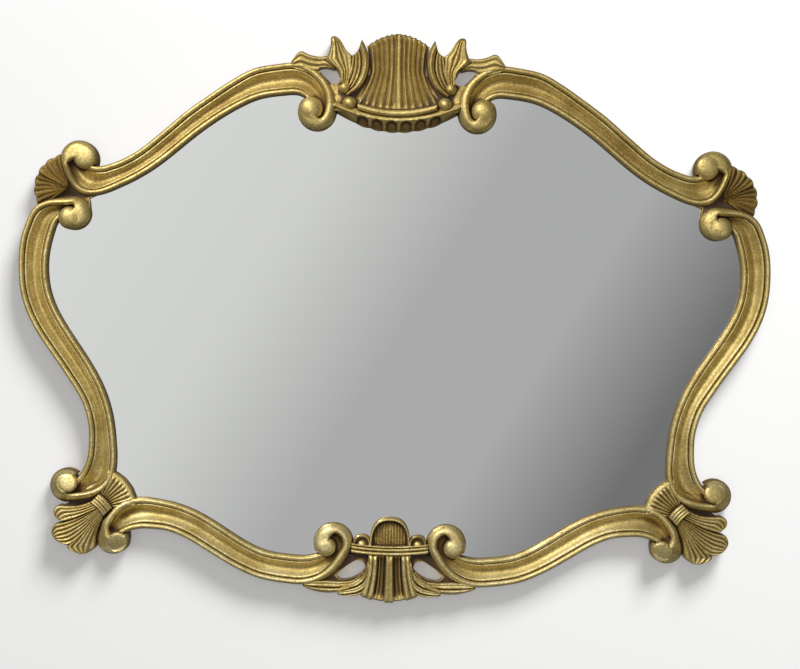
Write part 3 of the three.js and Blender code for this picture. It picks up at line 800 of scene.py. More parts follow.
@dataclass
class ScrollRails:
    """The three scrolled rails of each side, which frame the pane, with the eyes of their volutes."""

    moulding: Moulding = field(default_factory=Moulding)
    eye_steps: int = 26
    eye_lift: float = 0.75
    eye_lift_fall: float = 1.5
    top: Rail = Rail(
        "top_rail",
        ((150, 352.5), (190, 345), (220, 329), (250, 308.5), (280, 286.5), (310, 260.5), (340, 235.5),
         (365, 220.5), (385, 213)),
        (42.5, 40.5, 37.3, 34.5, 33.5, 33, 33, 33.5, 34.5), -1.0,
        Volute((106.5, 288.5), 26, (115, 291.5), 16.5, mouth=202, tip=248, close=394, pull=130, bead=16.5),
        Volute((421.5, 219.5), 25.7, (412.5, 222.5), 16.0, mouth=340, tip=360, close=558, pull=130, bead=10.5,
               eye_depth=29.5, flatness=3.6))
    side: Rail = Rail(
        "side_rail",
        ((489, 140), (497, 115), (500, 85), (498, 50), (490, 20), (475, -10), (455, -39), (433, -70),
         (413, -102), (403.5, -133), (402.5, -160)),
        (39, 38, 38, 37.5, 36.5), -1.0,
        Volute((427, 148.5), 23, (432.5, 141.5), 15.0, mouth=85, tip=118, close=328, pull=85, bead=12.5,
               eye_depth=30.0, flatness=2.6, swell=18.0),
        Volute((430.5, -213.5), 22.7, (428.5, -209), 13.5, mouth=265, tip=280, close=491, pull=165, bead=12.5,
               eye_depth=30.0, flatness=7.0, chamfer=1.0, lean=(-0.1, -0.2)))
    bottom: Rail = Rail(
        "bottom_rail",
        ((130, -340), (155, -337), (180, -331), (210, -317.5), (240, -300), (270, -282.5), (295, -272.7),
         (318, -270)),
        (39, 37.5, 38.5, 40, 41), 1.0,
        Volute((74.7, -283.8), 26.9, (84.5, -289), 13.0, mouth=206, tip=88, close=-26, pull=110, bead=14.5,
               eye_depth=29.0, flatness=3.2),
        Volute((368.5, -281.5), 22.8, (360, -287), 13.5, mouth=22, tip=30, close=-202, pull=120, bead=14.0,
               eye_depth=29.0, flatness=7.0, chamfer=1.0, lean=(0.0, 0.34)))

    def eye(self, volute: Volute) -> np.ndarray:
        """Rows of a volute's raised eye.

        Args:
            volute: The volute.

        Returns:
            Rows of u, z and depth.
        """
        rows = disc_rows(volute.eye, volute.eye_radius - 1e-6, self.eye_steps, lambda away: away)
        offset = rows[..., :2] - np.array(volute.eye)
        share = np.hypot(offset[..., 0], offset[..., 1]) / volute.eye_radius
        lift = self.eye_lift * (1.0 - self.eye_lift_fall * share ** 2)
        rows[..., 2] = volute.dome(offset, self.moulding.eye_spring) + lift
        return rows

    def pieces(self) -> list[bpy.types.Object]:
        """The rails and eyes of both sides.

        Returns:
            The closed carvings.
        """
        made = []
        for rail in (self.top, self.side, self.bottom):
            fronts = [rail.rows(self.moulding), self.eye(rail.start), self.eye(rail.end)]
            made += carve_pairs(rail.name, fronts)
        return made


@dataclass(frozen=True)
class Leaf:
    """A carved leaf between two guide curves, with folds across it and a rounded edge."""

    left: tuple[Point, ...]
    right: tuple[Point, ...]
    folds: tuple[float, ...]
    lift: float = 0.0
    bow: float = 0.0
    roll: float = 4.0
    roll_reach: float = 0.09
    tip_reach: float = 0.06
    steps: tuple[int, int] = (32, 36)

    def rows(self) -> np.ndarray:
        """Front surface of the leaf.

        Returns:
            Rows of u, z and depth.
        """
        t, a = lattice(*self.steps)
        left, right = even_curve(self.left, len(t)), even_curve(self.right, len(t))
        points = left[:, None, :] + (right - left)[:, None, :] * a[:, :, None]
        middle = (left + right) / 2.0
        back = middle[int(0.8 * len(t))] - middle[-1]
        back = back / np.hypot(*back)
        points = points + self.bow * (t ** 8 * 4.0 * a * (1.0 - a))[:, :, None] * back
        depth = folded(self.folds, a) + self.lift * t
        edge = np.minimum(np.minimum(a, 1.0 - a) / self.roll_reach, (1.0 - t) / self.tip_reach)
        return surface(points[..., 0], points[..., 1], depth - rolled(edge, self.roll))


@dataclass(frozen=True)
class Pearl:
    """A round carved pearl."""

    centre: Point
    radius: float
    depth: float
    spring: float = 20.0
    steps: int = 16

    def rows(self) -> np.ndarray:
        """Front surface of the pearl."""
        return disc_rows(self.centre, self.radius, self.steps, lambda away: mix(
            self.spring, self.depth, half_round(away / self.radius)))


@dataclass(frozen=True)
class Shell:
    """The fluted, waisted shell in the middle of the crest."""

    base: float = 291.0
    base_rise: float = 7.0
    top: float = 392.0
    top_fall: float = 16.0
    waist: float = 37.5
    waist_at: float = 0.55
    flare: float = 23.0
    lip: float = 4.0
    base_depth: float = 22.0
    top_depth: float = 29.0
    crown: float = 4.0
    ridges: tuple[float, ...] = (0.06, 0.21, 0.37, 0.55, 0.70, 0.87)
    flute_depth: float = 3.5
    flute_half: float = 0.44
    rib_hollow: float = 0.35
    scallop: float = 0.8
    pad: float = 0.8
    pad_from: float = 0.88
    pad_ridge: float = 0.6
    starts_over: float = 0.08
    roll: float = 5.0
    roll_reach: float = 0.04
    steps: tuple[int, int] = (48, 150)

    def flutes(self, place: np.ndarray) -> np.ndarray:
        """Relief across the shell: hollow flutes between thin ridges, with a shallow one in the middle.

        Args:
            place: Places across, from -1 to 1.

        Returns:
            Depths below the tops of the ridges.
        """
        count = len(self.ridges)
        passed = np.interp(np.abs(place), (0.0, *self.ridges, 1.0), (0.5, *range(1, count + 1), count + 0.9))
        off = np.abs(passed % 1.0 - 0.5)
        hollow = np.where(off < self.flute_half, np.cos(np.pi / 2.0 * off / self.flute_half), 0.0)
        return -self.flute_depth * np.where(passed < 1.0, self.rib_hollow * hollow, hollow) ** 0.8

    def rows(self) -> np.ndarray:
        """Front surface of the shell.

        Returns:
            Rows of u, z and depth.
        """
        t, a = lattice(*self.steps)
        place = 2.0 * a - 1.0
        below = np.clip(1.0 - t / self.waist_at, 0.0, 1.0)
        above = np.clip((t - self.waist_at) / (1.0 - self.waist_at), 0.0, 1.0)
        half = self.waist + self.flare * below ** 1.3 + self.lip * above ** 2
        flutes = self.flutes(place)
        top = self.top - self.top_fall * place ** 2 + self.scallop * flutes / self.flute_depth
        depth = mix(self.base_depth, self.top_depth, t) + self.crown * (1.0 - place ** 2)
        pads = self.pad * ease((t - self.pad_from) / self.roll_reach) * (flutes > -self.pad_ridge)
        depth = depth + flutes * ease(t / self.starts_over) + pads
        depth = depth - rolled((1.0 - t) / self.roll_reach, self.roll)
        return surface(half * place, mix(self.base + self.base_rise * place ** 2, top, t), depth)


@dataclass(frozen=True)
class SmileBar:
    """The half-round bar that curves under the shell."""

    reach: float = 52.5
    middle: float = 286.3
    rise: float = 9.0
    thickness: float = 9.8
    depth: float = 33.5
    foot: float = 21.0
    fullness: float = 2.8
    taper: float = 0.15
    steps: tuple[int, int] = (60, 16)

    def rows(self) -> np.ndarray:
        """Front surface of the bar.

        Returns:
            Rows of u, z and depth.
        """
        t, a = lattice(*self.steps)
        place, side = 2.0 * t - 1.0, -np.cos(np.pi * a)
        thickness = self.thickness * (1.0 - self.taper * place ** 4)
        z = self.middle + self.rise * place ** 2 + thickness * side / 2.0
        rise = quarter_round(1.0 - np.abs(side), self.fullness)
        return surface(self.reach * place, z, mix(self.foot, self.depth, rise))


@dataclass(frozen=True)
class Fringe:
    """The scalloped fringe under the bar, with arched gouges at even steps."""

    reach: float = 84.0
    top: float = 286.0
    top_rise: float = 16.0
    bottom: float = 264.0
    bottom_rise: float = 25.0
    pitch: float = 19.1
    first: float = -45.5
    gouges: int = 6
    gouge_half: float = 7.6
    gouge_depth: float = 8.0
    gouge_top: float = 0.4
    gouge_arch: float = 0.25
    gouge_squareness: float = 5.0
    gouge_slant: tuple[float, float] = (0.95, 0.7)
    gouge_spread: float = 1.22
    ledge_depth: float = 26.0
    lip_depth: float = 30.5
    edge_depth: float = 17.5
    end_fall: float = 4.0
    scallop: float = 1.6
    roll: float = 4.0
    roll_reach: float = 0.12
    steps: tuple[int, int] = (160, 28)

    def rows(self) -> np.ndarray:
        """Front surface of the fringe.

        Returns:
            Rows of u, z and depth.
        """
        t, a = lattice(*self.steps)
        u = self.reach * (2.0 * t - 1.0)
        share = (u / self.reach) ** 2
        passed = (u - self.first) / self.pitch + 0.5
        offset = (passed % 1.0 - 0.5) * self.pitch
        within = (passed > 0.0) & (passed < self.gouges)
        lobes = self.scallop * np.cos(np.pi * offset / self.pitch) * within
        bottom = self.bottom + self.bottom_rise * share - lobes
        arch = np.clip((a - self.gouge_top) / self.gouge_arch, 0.0, 1.0)
        below = np.clip((a - self.gouge_top) / (1.0 - self.gouge_top), 0.0, 1.0)
        half = self.gouge_half * half_round(1.0 - arch) * mix(1.0, self.gouge_spread, below) + 1e-3
        gouge = np.clip(1.0 - np.abs(offset / half) ** self.gouge_squareness, 0.0, 1.0) ** 0.5
        gouge = gouge * within * (arch > 0.0)
        depth = np.interp(a, (0.0, self.gouge_top, 1.0), (self.ledge_depth, self.lip_depth, self.edge_depth))
        depth = depth - self.end_fall * share ** 2
        depth = depth - self.gouge_depth * gouge * mix(*self.gouge_slant, below)
        depth = depth - (1.0 - gouge) * rolled((1.0 - a) / self.roll_reach, self.roll)
        return surface(u, mix(self.top + self.top_rise * share, bottom, a), depth)


@dataclass
class Crest:
    """The carved crest: shell, wings, leaves, pearls, bar and fringe over a recessed ground."""

    shell: Shell = Shell()
    bar: SmileBar = SmileBar()
    fringe: Fringe = Fringe()
    wing: Leaf = Leaf(
        ((66, 309), (52, 318), (45, 327), (40, 338), (38, 350), (39, 360), (42, 372), (48.5, 384)),
        ((73, 316), (69, 328), (65.5, 338), (63, 348), (61.5, 356), (61, 363)),
        (23, 29.5, 31.5, 29.5, 23.5, 25.5, 23, 25.5, 22.5, 25, 22),
        lift=6.5, bow=5.0, roll=3.0, roll_reach=0.04, tip_reach=0.04, steps=(44, 48))
    upright_leaf: Leaf = Leaf(
        ((66, 322), (62, 340), (61, 352), (61, 362), (69, 370), (75, 380), (79.5, 385.5)),
        ((78, 326), (80, 342), (90, 350), (96.5, 356), (93, 364), (90, 375), (90, 384)),
        (25, 28, 26.5, 28.5, 26.5, 29, 27, 30, 29.5, 31, 28, 24),
        lift=3.0, bow=-3.0, roll=5.0, roll_reach=0.06, tip_reach=0.08, steps=(40, 48))
    side_leaf: Leaf = Leaf(
        ((84, 347), (92, 361), (105, 361.3), (117, 363.5), (128, 368), (134, 365), (142, 353)),
        ((84, 338), (92, 340), (105, 338), (115, 338), (125, 340), (135, 343), (142, 347)),
        (22, 26.5, 24.5, 26, 23.5, 25, 22.5, 23),
        lift=1.0, roll_reach=0.08, tip_reach=0.05, steps=(36, 36))
    upper_pearl: Pearl = Pearl((70.5, 320), 8.2, 31.5)
    lower_pearl: Pearl = Pearl((63.5, 299.5), 9.8, 32.5)
    cheek: Pearl = Pearl((80, 304), 15.5, 22.8, 14.0)
    ground: tuple[Point, ...] = ((0, 282), (60, 284), (88, 292), (96, 318), (82, 330), (60, 335), (0, 340))
    ground_depth: float = 22.0
    hole: tuple[Point, ...] = ((75, 330), (79.5, 340), (86, 345), (97, 347), (105, 344.5), (100.5, 338),
                               (92, 330), (83, 325))

    def pieces(self) -> list[bpy.types.Object]:
        """All the carvings of the crest.

        Returns:
            The closed carvings.
        """
        paired = (self.wing, self.upright_leaf, self.side_leaf, self.upper_pearl, self.lower_pearl,
                  self.cheek)
        made = carve_pairs("crest", [part.rows() for part in paired])
        made += [carve("crest", part.rows()) for part in (self.shell, self.bar, self.fringe)]
        return [*made, slab("crest_ground", symmetric(self.ground), self.ground_depth)]


def symmetric(half: Sequence[Point]) -> np.ndarray:
    """A closed outline from its right half, which starts and ends on the upright axis.

    Args:
        half: Corners of the right half.

    Returns:
        Rows of u and z.
    """
    right = np.asarray(half, float)
    left = right[right[:, 0] > 0][::-1] * (-1.0, 1.0)
    return np.vstack((right, left))


@dataclass(frozen=True)
class Arch(ABC):
    """An arched boss of the apron: a thin raised rim around a hollow."""

    centre: Point
    half_width: float
    height: float
    fullness: float
    rim: float
    rim_depth: float
    floor_depth: float
    start: float
    growth: float
    steps: tuple[int, int]
    edge_depth: float = 17.0

    @abstractmethod
    def hollow(self, u: np.ndarray, ring: np.ndarray) -> np.ndarray:
        """Depth inside the rim, by the distance across and the share of the way to the edge."""

    def rows(self) -> np.ndarray:
        """Front surface of the arch.

        Returns:
            Rows of u, z and depth.
        """
        t, a = lattice(*self.steps)
        ring = mix(self.start, 1.0, t ** self.growth)
        side, up = np.cos(np.pi * a), np.clip(np.sin(np.pi * a), 0.0, 1.0)
        u = self.half_width * ring * np.sign(side) * np.abs(side) ** self.fullness
        z = self.height * ring * up ** self.fullness
        over = np.clip((ring - self.rim) / (1.0 - self.rim), 0.0, 1.0)
        rim = mix(mix(self.floor_depth, self.edge_depth, over), self.rim_depth, half_round(2.0 * over - 1.0))
        return surface(self.centre[0] + u, self.centre[1] + z,
                       np.where(ring < self.rim, self.hollow(u, ring), rim))


@dataclass(frozen=True)
class Lunette(Arch):
    """The half-round shell of the apron, upright-fluted inside its rim."""

    floor_swell: float = 3.5
    flute_pitch: float = 3.9
    flute_depth: float = 1.7
    flute_fade: float = 0.08

    def hollow(self, u: np.ndarray, ring: np.ndarray) -> np.ndarray:
        """Depth of the fluted floor.

        Args:
            u: Distances across from the middle.
            ring: Shares of the way to the edge.

        Returns:
            The depths.
        """
        inside = np.clip(ring / self.rim, 0.0, 1.0)
        flute = self.flute_depth * (np.abs(np.cos(np.pi * u / self.flute_pitch)) ** 0.7 - 0.5)
        floor = self.floor_depth + self.floor_swell * (1.0 - inside ** 2)
        return floor + flute * ease((1.0 - inside) / self.flute_fade)


@dataclass(frozen=True)
class Lobe(Arch):
    """A small arched lobe beside the lunette, hollowed around a bud."""

    bud: float = 0.5
    bud_depth: float = 25.0

    def hollow(self, u: np.ndarray, ring: np.ndarray) -> np.ndarray:
        """Depth of the floor and of the bud in its middle."""
        return mix(self.floor_depth, self.bud_depth, half_round(ring / self.bud))


@dataclass(frozen=True)
class ReededBand:
    """The band of reeds under the lunette, a thin one above two wider ones, slightly bowed."""

    reach: float = 51.0
    top: float = -286.5
    bow: float = 3.4
    height: float = 13.6
    edges: tuple[float, ...] = (0.0, 0.22, 0.58, 1.0)
    depth: float = 26.5
    groove: float = 21.0
    end_fall: float = 1.5
    steps: tuple[int, int] = (30, 40)

    def rows(self) -> np.ndarray:
        """Front surface of the band.

        Returns:
            Rows of u, z and depth.
        """
        t, a = lattice(*self.steps)
        place = 2.0 * a - 1.0
        passed = np.interp(t, self.edges, range(len(self.edges)))
        off = 2.0 * (passed % 1.0) - 1.0
        depth = mix(self.groove, self.depth, half_round(off)) - self.end_fall * place ** 4
        return surface(self.reach * place, self.top + self.bow * place ** 2 - self.height * t, depth)


@dataclass(frozen=True)
class ApronFan:
    """The fan below the band: three wide double ribs with thin ridges in the hollows between."""

    top: float = -299.0
    top_half: float = 28.0
    bottom: float = -362.0
    bottom_rise: float = 9.0
    bottom_half: float = 39.0
    top_depth: float = 24.0
    bottom_depth: float = 25.0
    stations: tuple[float, ...] = (0.0, 0.04, 0.08, 0.12, 0.16, 0.2, 0.25, 0.3, 0.35, 0.41, 0.46, 0.5, 0.55,
                                   0.6, 0.65, 0.71, 0.77, 0.83, 0.89, 0.95, 1.0)
    relief: tuple[float, ...] = (0.8, 1.8, 3.4, 3.2, -0.8, -5.0, -5.2, -1.4, -5.0, -5.2, -1.2, -5.0, -3.6,
                                 2.4, 3.4, 2.4, 0.2, 2.8, 3.2, 1.0, -1.5)
    lobe: float = 1.2
    lip: float = 0.7
    lip_from: float = 0.78
    lip_over: float = 0.2
    starts_over: float = 0.1
    roll: float = 6.0
    roll_reach: float = 0.06
    steps: tuple[int, int] = (30, 110)

    def rows(self) -> np.ndarray:
        """Front surface of the fan.

        Returns:
            Rows of u, z and depth.
        """
        t, a = lattice(*self.steps)
        place = 2.0 * a - 1.0
        relief = np.interp(np.abs(place), self.stations, self.relief)
        half = mix(self.top_half, self.bottom_half, t ** 2)
        bottom = self.bottom + self.bottom_rise * place ** 2 + self.lobe * (relief < 0.0)
        filled = 1.0 - self.lip * ease((t - self.lip_from) / self.lip_over)
        relief = relief * ease(t / self.starts_over) * np.where(relief < 0.0, filled, 1.0)
        depth = mix(self.top_depth, self.bottom_depth, t) + relief
        depth = depth - rolled((1.0 - t) / self.roll_reach, self.roll)
        return surface(half * place, mix(self.top, bottom, t), depth)


@dataclass
class Apron:
    """The carved apron: lunette, lobes, reeded band, fan and leaves over a recessed ground."""

    lunette: Lunette = Lunette((0.0, -288.0), 27.0, 39.0, fullness=0.77, rim=0.87, rim_depth=26.5,
                               floor_depth=17.0, start=0.04, growth=0.8, steps=(36, 96))
    lobe: Lobe = Lobe((37.0, -287.0), 11.8, 15.0, fullness=0.8, rim=0.76, rim_depth=26.0,
                      floor_depth=20.5, start=0.06, growth=1.0, steps=(20, 40))
    band: ReededBand = ReededBand()
    fan: ApronFan = ApronFan()
    near_leaf: Leaf = Leaf(
        ((29, -306), (33, -322), (44, -332), (57, -338), (70, -345)),
        ((26, -322), (31, -345), (40, -352.5), (54, -354.3), (68, -352.5)),
        (21, 25.5, 24, 25, 21.5, 26.5, 25.5, 26, 22, 24.5, 21.5),
        roll_reach=0.06, tip_reach=0.05, steps=(34, 50))
    far_leaf: Leaf = Leaf(
        ((34, -318), (46, -331), (64, -334), (86, -333), (104, -335), (115, -339)),
        ((34, -328), (48, -342), (66, -349), (86, -350.3), (103, -347), (115, -342)),
        (19, 24, 22.5, 23, 20, 25.5, 24, 21),
        roll_reach=0.08, tip_reach=0.05, steps=(44, 40))
    ground: tuple[Point, ...] = ((0, -290), (60, -300), (92, -322), (112, -336), (70, -341), (30, -345),
                                 (0, -350))
    ground_depth: float = 18.5
    hole: tuple[Point, ...] = ((32, -317), (35.5, -309), (43, -306.8), (50, -309.5), (58.5, -316),
                               (66.5, -323), (70, -328), (65, -332.5), (57, -332.5), (48, -330), (39, -325))

    def pieces(self) -> list[bpy.types.Object]:
        """All the carvings of the apron.

        Returns:
            The closed carvings.
        """
        made = carve_pairs("apron", [part.rows() for part in (self.lobe, self.near_leaf, self.far_leaf)])
        made += [carve("apron", part.rows()) for part in (self.lunette, self.band, self.fan)]
        return [*made, slab("apron_ground", symmetric(self.ground), self.ground_depth)]


@dataclass(frozen=True)
class Fan:
    """A shell of ridges that spread from a focus to a lobed rim."""

    focus: Point
    reach: float
    lobe: float
    lobes: int
    first: float
    last: float
    ridges: int
    ridge_depth: float
    sharpness: float
    hub_depth: float
    rim_depth: float
    sway: float
    border: float
    hub: float
    unevenness: float = 0.25
    hub_ridges: float = 0.35
    border_width: float = 0.1
    roll: float = 6.0
    roll_reach: float = 0.1
    steps: tuple[int, int] = (30, 130)

    def rows(self) -> np.ndarray:
        """Front surface of the fan.

        Returns:
            Rows of u, z and depth.
        """
        t, a = lattice(*self.steps)
        radius = mix(self.hub, self.reach + self.lobe * np.abs(np.sin(np.pi * self.lobes * a)), t)
        swing = self.sway * np.sin(np.pi * t) * np.sin(2.0 * np.pi * a)
        u, z = polar(self.focus, radius, mix(self.first, self.last, a) + swing)
        crest = np.abs(np.sin(np.pi * self.ridges * a))
        # Two waves out of step make the ridges differ as hand-cut ones do
        irregular = 1.0 + self.unevenness * np.sin(7.0 * a + 1.0) * np.sin(23.0 * a)
        ridge = self.ridge_depth * (2.0 * crest ** self.sharpness - 1.0) * irregular
        ridge = ridge * mix(self.hub_ridges, 1.0, t) * (1.0 - ease((t - self.border) / self.border_width))
        depth = mix(self.hub_depth, self.rim_depth, np.sin(0.6 * np.pi * t)) + ridge
        return surface(u, z, depth - rolled((1.0 - t) / self.roll_reach, self.roll))


@dataclass
class TopCorners:
    """The shells at the upper corners."""

    fan: Fan = Fan((435, 181), reach=44.3, lobe=2.0, lobes=6, first=-36, last=84, ridges=11,
                   ridge_depth=-3.0, sharpness=0.7, hub_depth=20.5, rim_depth=22.5, sway=5.0, border=0.93,
                   hub=2.0)
    ground: tuple[Point, ...] = ((390, 176), (415, 186), (440, 203), (468, 192), (476, 164), (450, 158),
                                 (412, 148), (405.8, 156.5), (406.2, 162), (407.5, 168.5))
    ground_depth: float = 17.0

    def pieces(self) -> list[bpy.types.Object]:
        """The shells and grounds of both sides."""
        made = carve_pairs("top_corner", [self.fan.rows()])
        return made + slab_pair("top_ground", self.ground, self.ground_depth)


@dataclass(frozen=True)
class Tie:
    """The reeded ribbon that ties the leaves and fan of a lower corner."""

    start: Point = (374.5, -247.5)
    end: Point = (392.0, -230.0)
    width: float = 16.0
    reeds: int = 4
    depth: float = 31.0
    groove: float = 27.5
    fall: float = 2.5
    curve: float = 1.8
    steps: tuple[int, int] = (20, 40)

    def rows(self) -> np.ndarray:
        """Front surface of the tie.

        Returns:
            Rows of u, z and depth.
        """
        t, a = lattice(*self.steps)
        along = np.subtract(self.end, self.start)
        side = np.array([-along[1], along[0]]) / np.hypot(*along)
        bent = self.width * (a - 0.5) + self.curve * (1.0 - (2.0 * t - 1.0) ** 2)
        off = 2.0 * ((self.reeds * a) % 1.0) - 1.0
        depth = mix(self.groove, self.depth, half_round(off)) - self.fall * (2.0 * t - 1.0) ** 2
        return surface(self.start[0] + along[0] * t + side[0] * bent,
                       self.start[1] + along[1] * t + side[1] * bent, depth)


@dataclass
class BottomCorners:
    """The lower corners: an inner fan, a tie and three leaves on each side."""

    fan: Fan = Fan((391.7, -244.1), reach=55.3, lobe=0.3, lobes=4, first=108.5, last=174.5, ridges=9,
                   ridge_depth=1.8, sharpness=1.1, hub_depth=22, rim_depth=22.5, sway=0.0, border=0.76,
                   hub=16.0)
    upper_lobe: Leaf = Leaf(
        ((394, -233), (412, -239.5), (430, -240.5), (441, -240), (447, -245.5), (446.5, -252),
         (441.5, -257)),
        ((388, -243), (403, -250.5), (417, -257), (431, -260.5), (439, -259.5)),
        (22, 24.5, 23, 26.5, 24, 27, 24.5, 27, 23),
        lift=1.5, roll=5.0, roll_reach=0.08, tip_reach=0.05, steps=(44, 56))
    middle_lobe: Leaf = Leaf(
        ((388, -242), (403, -250), (417, -256.5), (433, -261.5), (445, -265), (449, -273.5),
         (446.5, -281)),
        ((384, -250), (398, -268), (408.5, -280.5), (419, -290), (428, -293), (438.5, -289),
         (444.5, -283.5)),
        (21, 25, 23.5, 26.5, 24.5, 27.5, 25, 28, 25.5, 27.5, 25, 26.5, 22),
        lift=1.5, roll=5.0, roll_reach=0.05, steps=(44, 84))
    lower_lobe: Leaf = Leaf(
        ((385, -248), (400, -265), (411, -277.5), (421, -288), (428.5, -294.5), (425, -299),
         (417, -302.3), (408, -304.3)),
        ((378, -250), (386, -268), (389, -279.5), (390, -287), (391, -295), (397, -300.5),
         (403, -303.8)),
        (22, 26, 24.5, 27, 25, 27, 24, 26, 21.5, 20.5, 17),
        lift=1.0, roll=5.0, roll_reach=0.06, steps=(44, 70))
    tie: Tie = Tie()
    ground: tuple[Point, ...] = ((368, -200), (400, -214), (424, -234), (438, -242), (432, -268), (402, -288),
                                 (393, -286), (391, -272), (386, -259), (378, -250), (368, -242), (350, -238),
                                 (352, -222))
    ground_depth: float = 16.5

    def pieces(self) -> list[bpy.types.Object]:
        """The carvings of both lower corners.

        Returns:
            The closed carvings.
        """
        parts = (self.fan, self.tie, self.upper_lobe, self.middle_lobe, self.lower_lobe)
        made = carve_pairs("bottom_corner", [part.rows() for part in parts])
        return made + slab_pair("bottom_ground", self.ground, self.ground_depth)


def linear(colour: str) -> tuple[float, float, float, float]:
    """A scene colour from its sRGB hex code."""
    parts = [int(colour[i:i + 2], 16) / 255.0 for i in (1, 3, 5)]
    return (*(c / 12.92 if c <= 0.04045 else ((c + 0.055) / 1.055) ** 2.4 for c in parts), 1.0)


def add_node(tree: bpy.types.NodeTree, kind: str, *, settings: dict[str, str] | None = None,
             stops: Sequence[tuple[float, str]] = (), **inputs: object) -> bpy.types.Node:
    """A shader node with its settings, its ramp and its inputs, which are values or other nodes' sockets.

    Args:
        tree: Tree that gets the node.
        kind: Identifier of the kind of node.
        settings: Properties to set on it.
        stops: Places and hex colours of a colour ramp.
        inputs: Values or sockets by input name, with spaces as underscores.

    Returns:
        The new node.
    """
    node = tree.nodes.new(kind)
    for name, value in (settings or {}).items():
        setattr(node, name, value)
    for index, (place, colour) in enumerate(stops):
        elements = node.color_ramp.elements
        element = elements[index] if index < 2 else elements.new(place)
        element.position, element.color = place, linear(colour)
    for name, value in inputs.items():
        key = int(name[1:]) if name[0] == "_" else name.replace("_", " ")
        if isinstance(value, bpy.types.NodeSocket):
            tree.links.new(value, node.inputs[key])
        else:
            node.inputs[key].default_value = value
    return node


def new_material(name: str) -> tuple[bpy.types.Material, bpy.types.NodeTree, bpy.types.NodeSocket]:
    """An empty material.

    Args:
        name: What the material really is.

    Returns:
        The material, its tree and its surface socket.
    """
    material = bpy.data.materials.new(name)
    material.use_nodes = True
    tree = material.node_tree
    tree.nodes.clear()
    return material, tree, tree.nodes.new("ShaderNodeOutputMaterial").inputs["Surface"]


def ranged(tree: bpy.types.NodeTree, value: bpy.types.NodeSocket, source: Span,
           target: Span = (0.0, 1.0)) -> bpy.types.NodeSocket:
    """A value carried from one range to another and kept inside it."""
    return add_node(tree, "ShaderNodeMapRange", Value=value, From_Min=source[0], From_Max=source[1],
                    To_Min=target[0], To_Max=target[1]).outputs[0]


def noise(tree: bpy.types.NodeTree, coords: bpy.types.NodeSocket, size_mm: float, detail: float,
          roughness: float = 0.5) -> bpy.types.NodeSocket:
    """A noise whose features are of the given size."""
    return add_node(tree, "ShaderNodeTexNoise", Vector=coords, Scale=1.0 / (size_mm * MM), Detail=detail,
                    Roughness=roughness).outputs["Fac"]


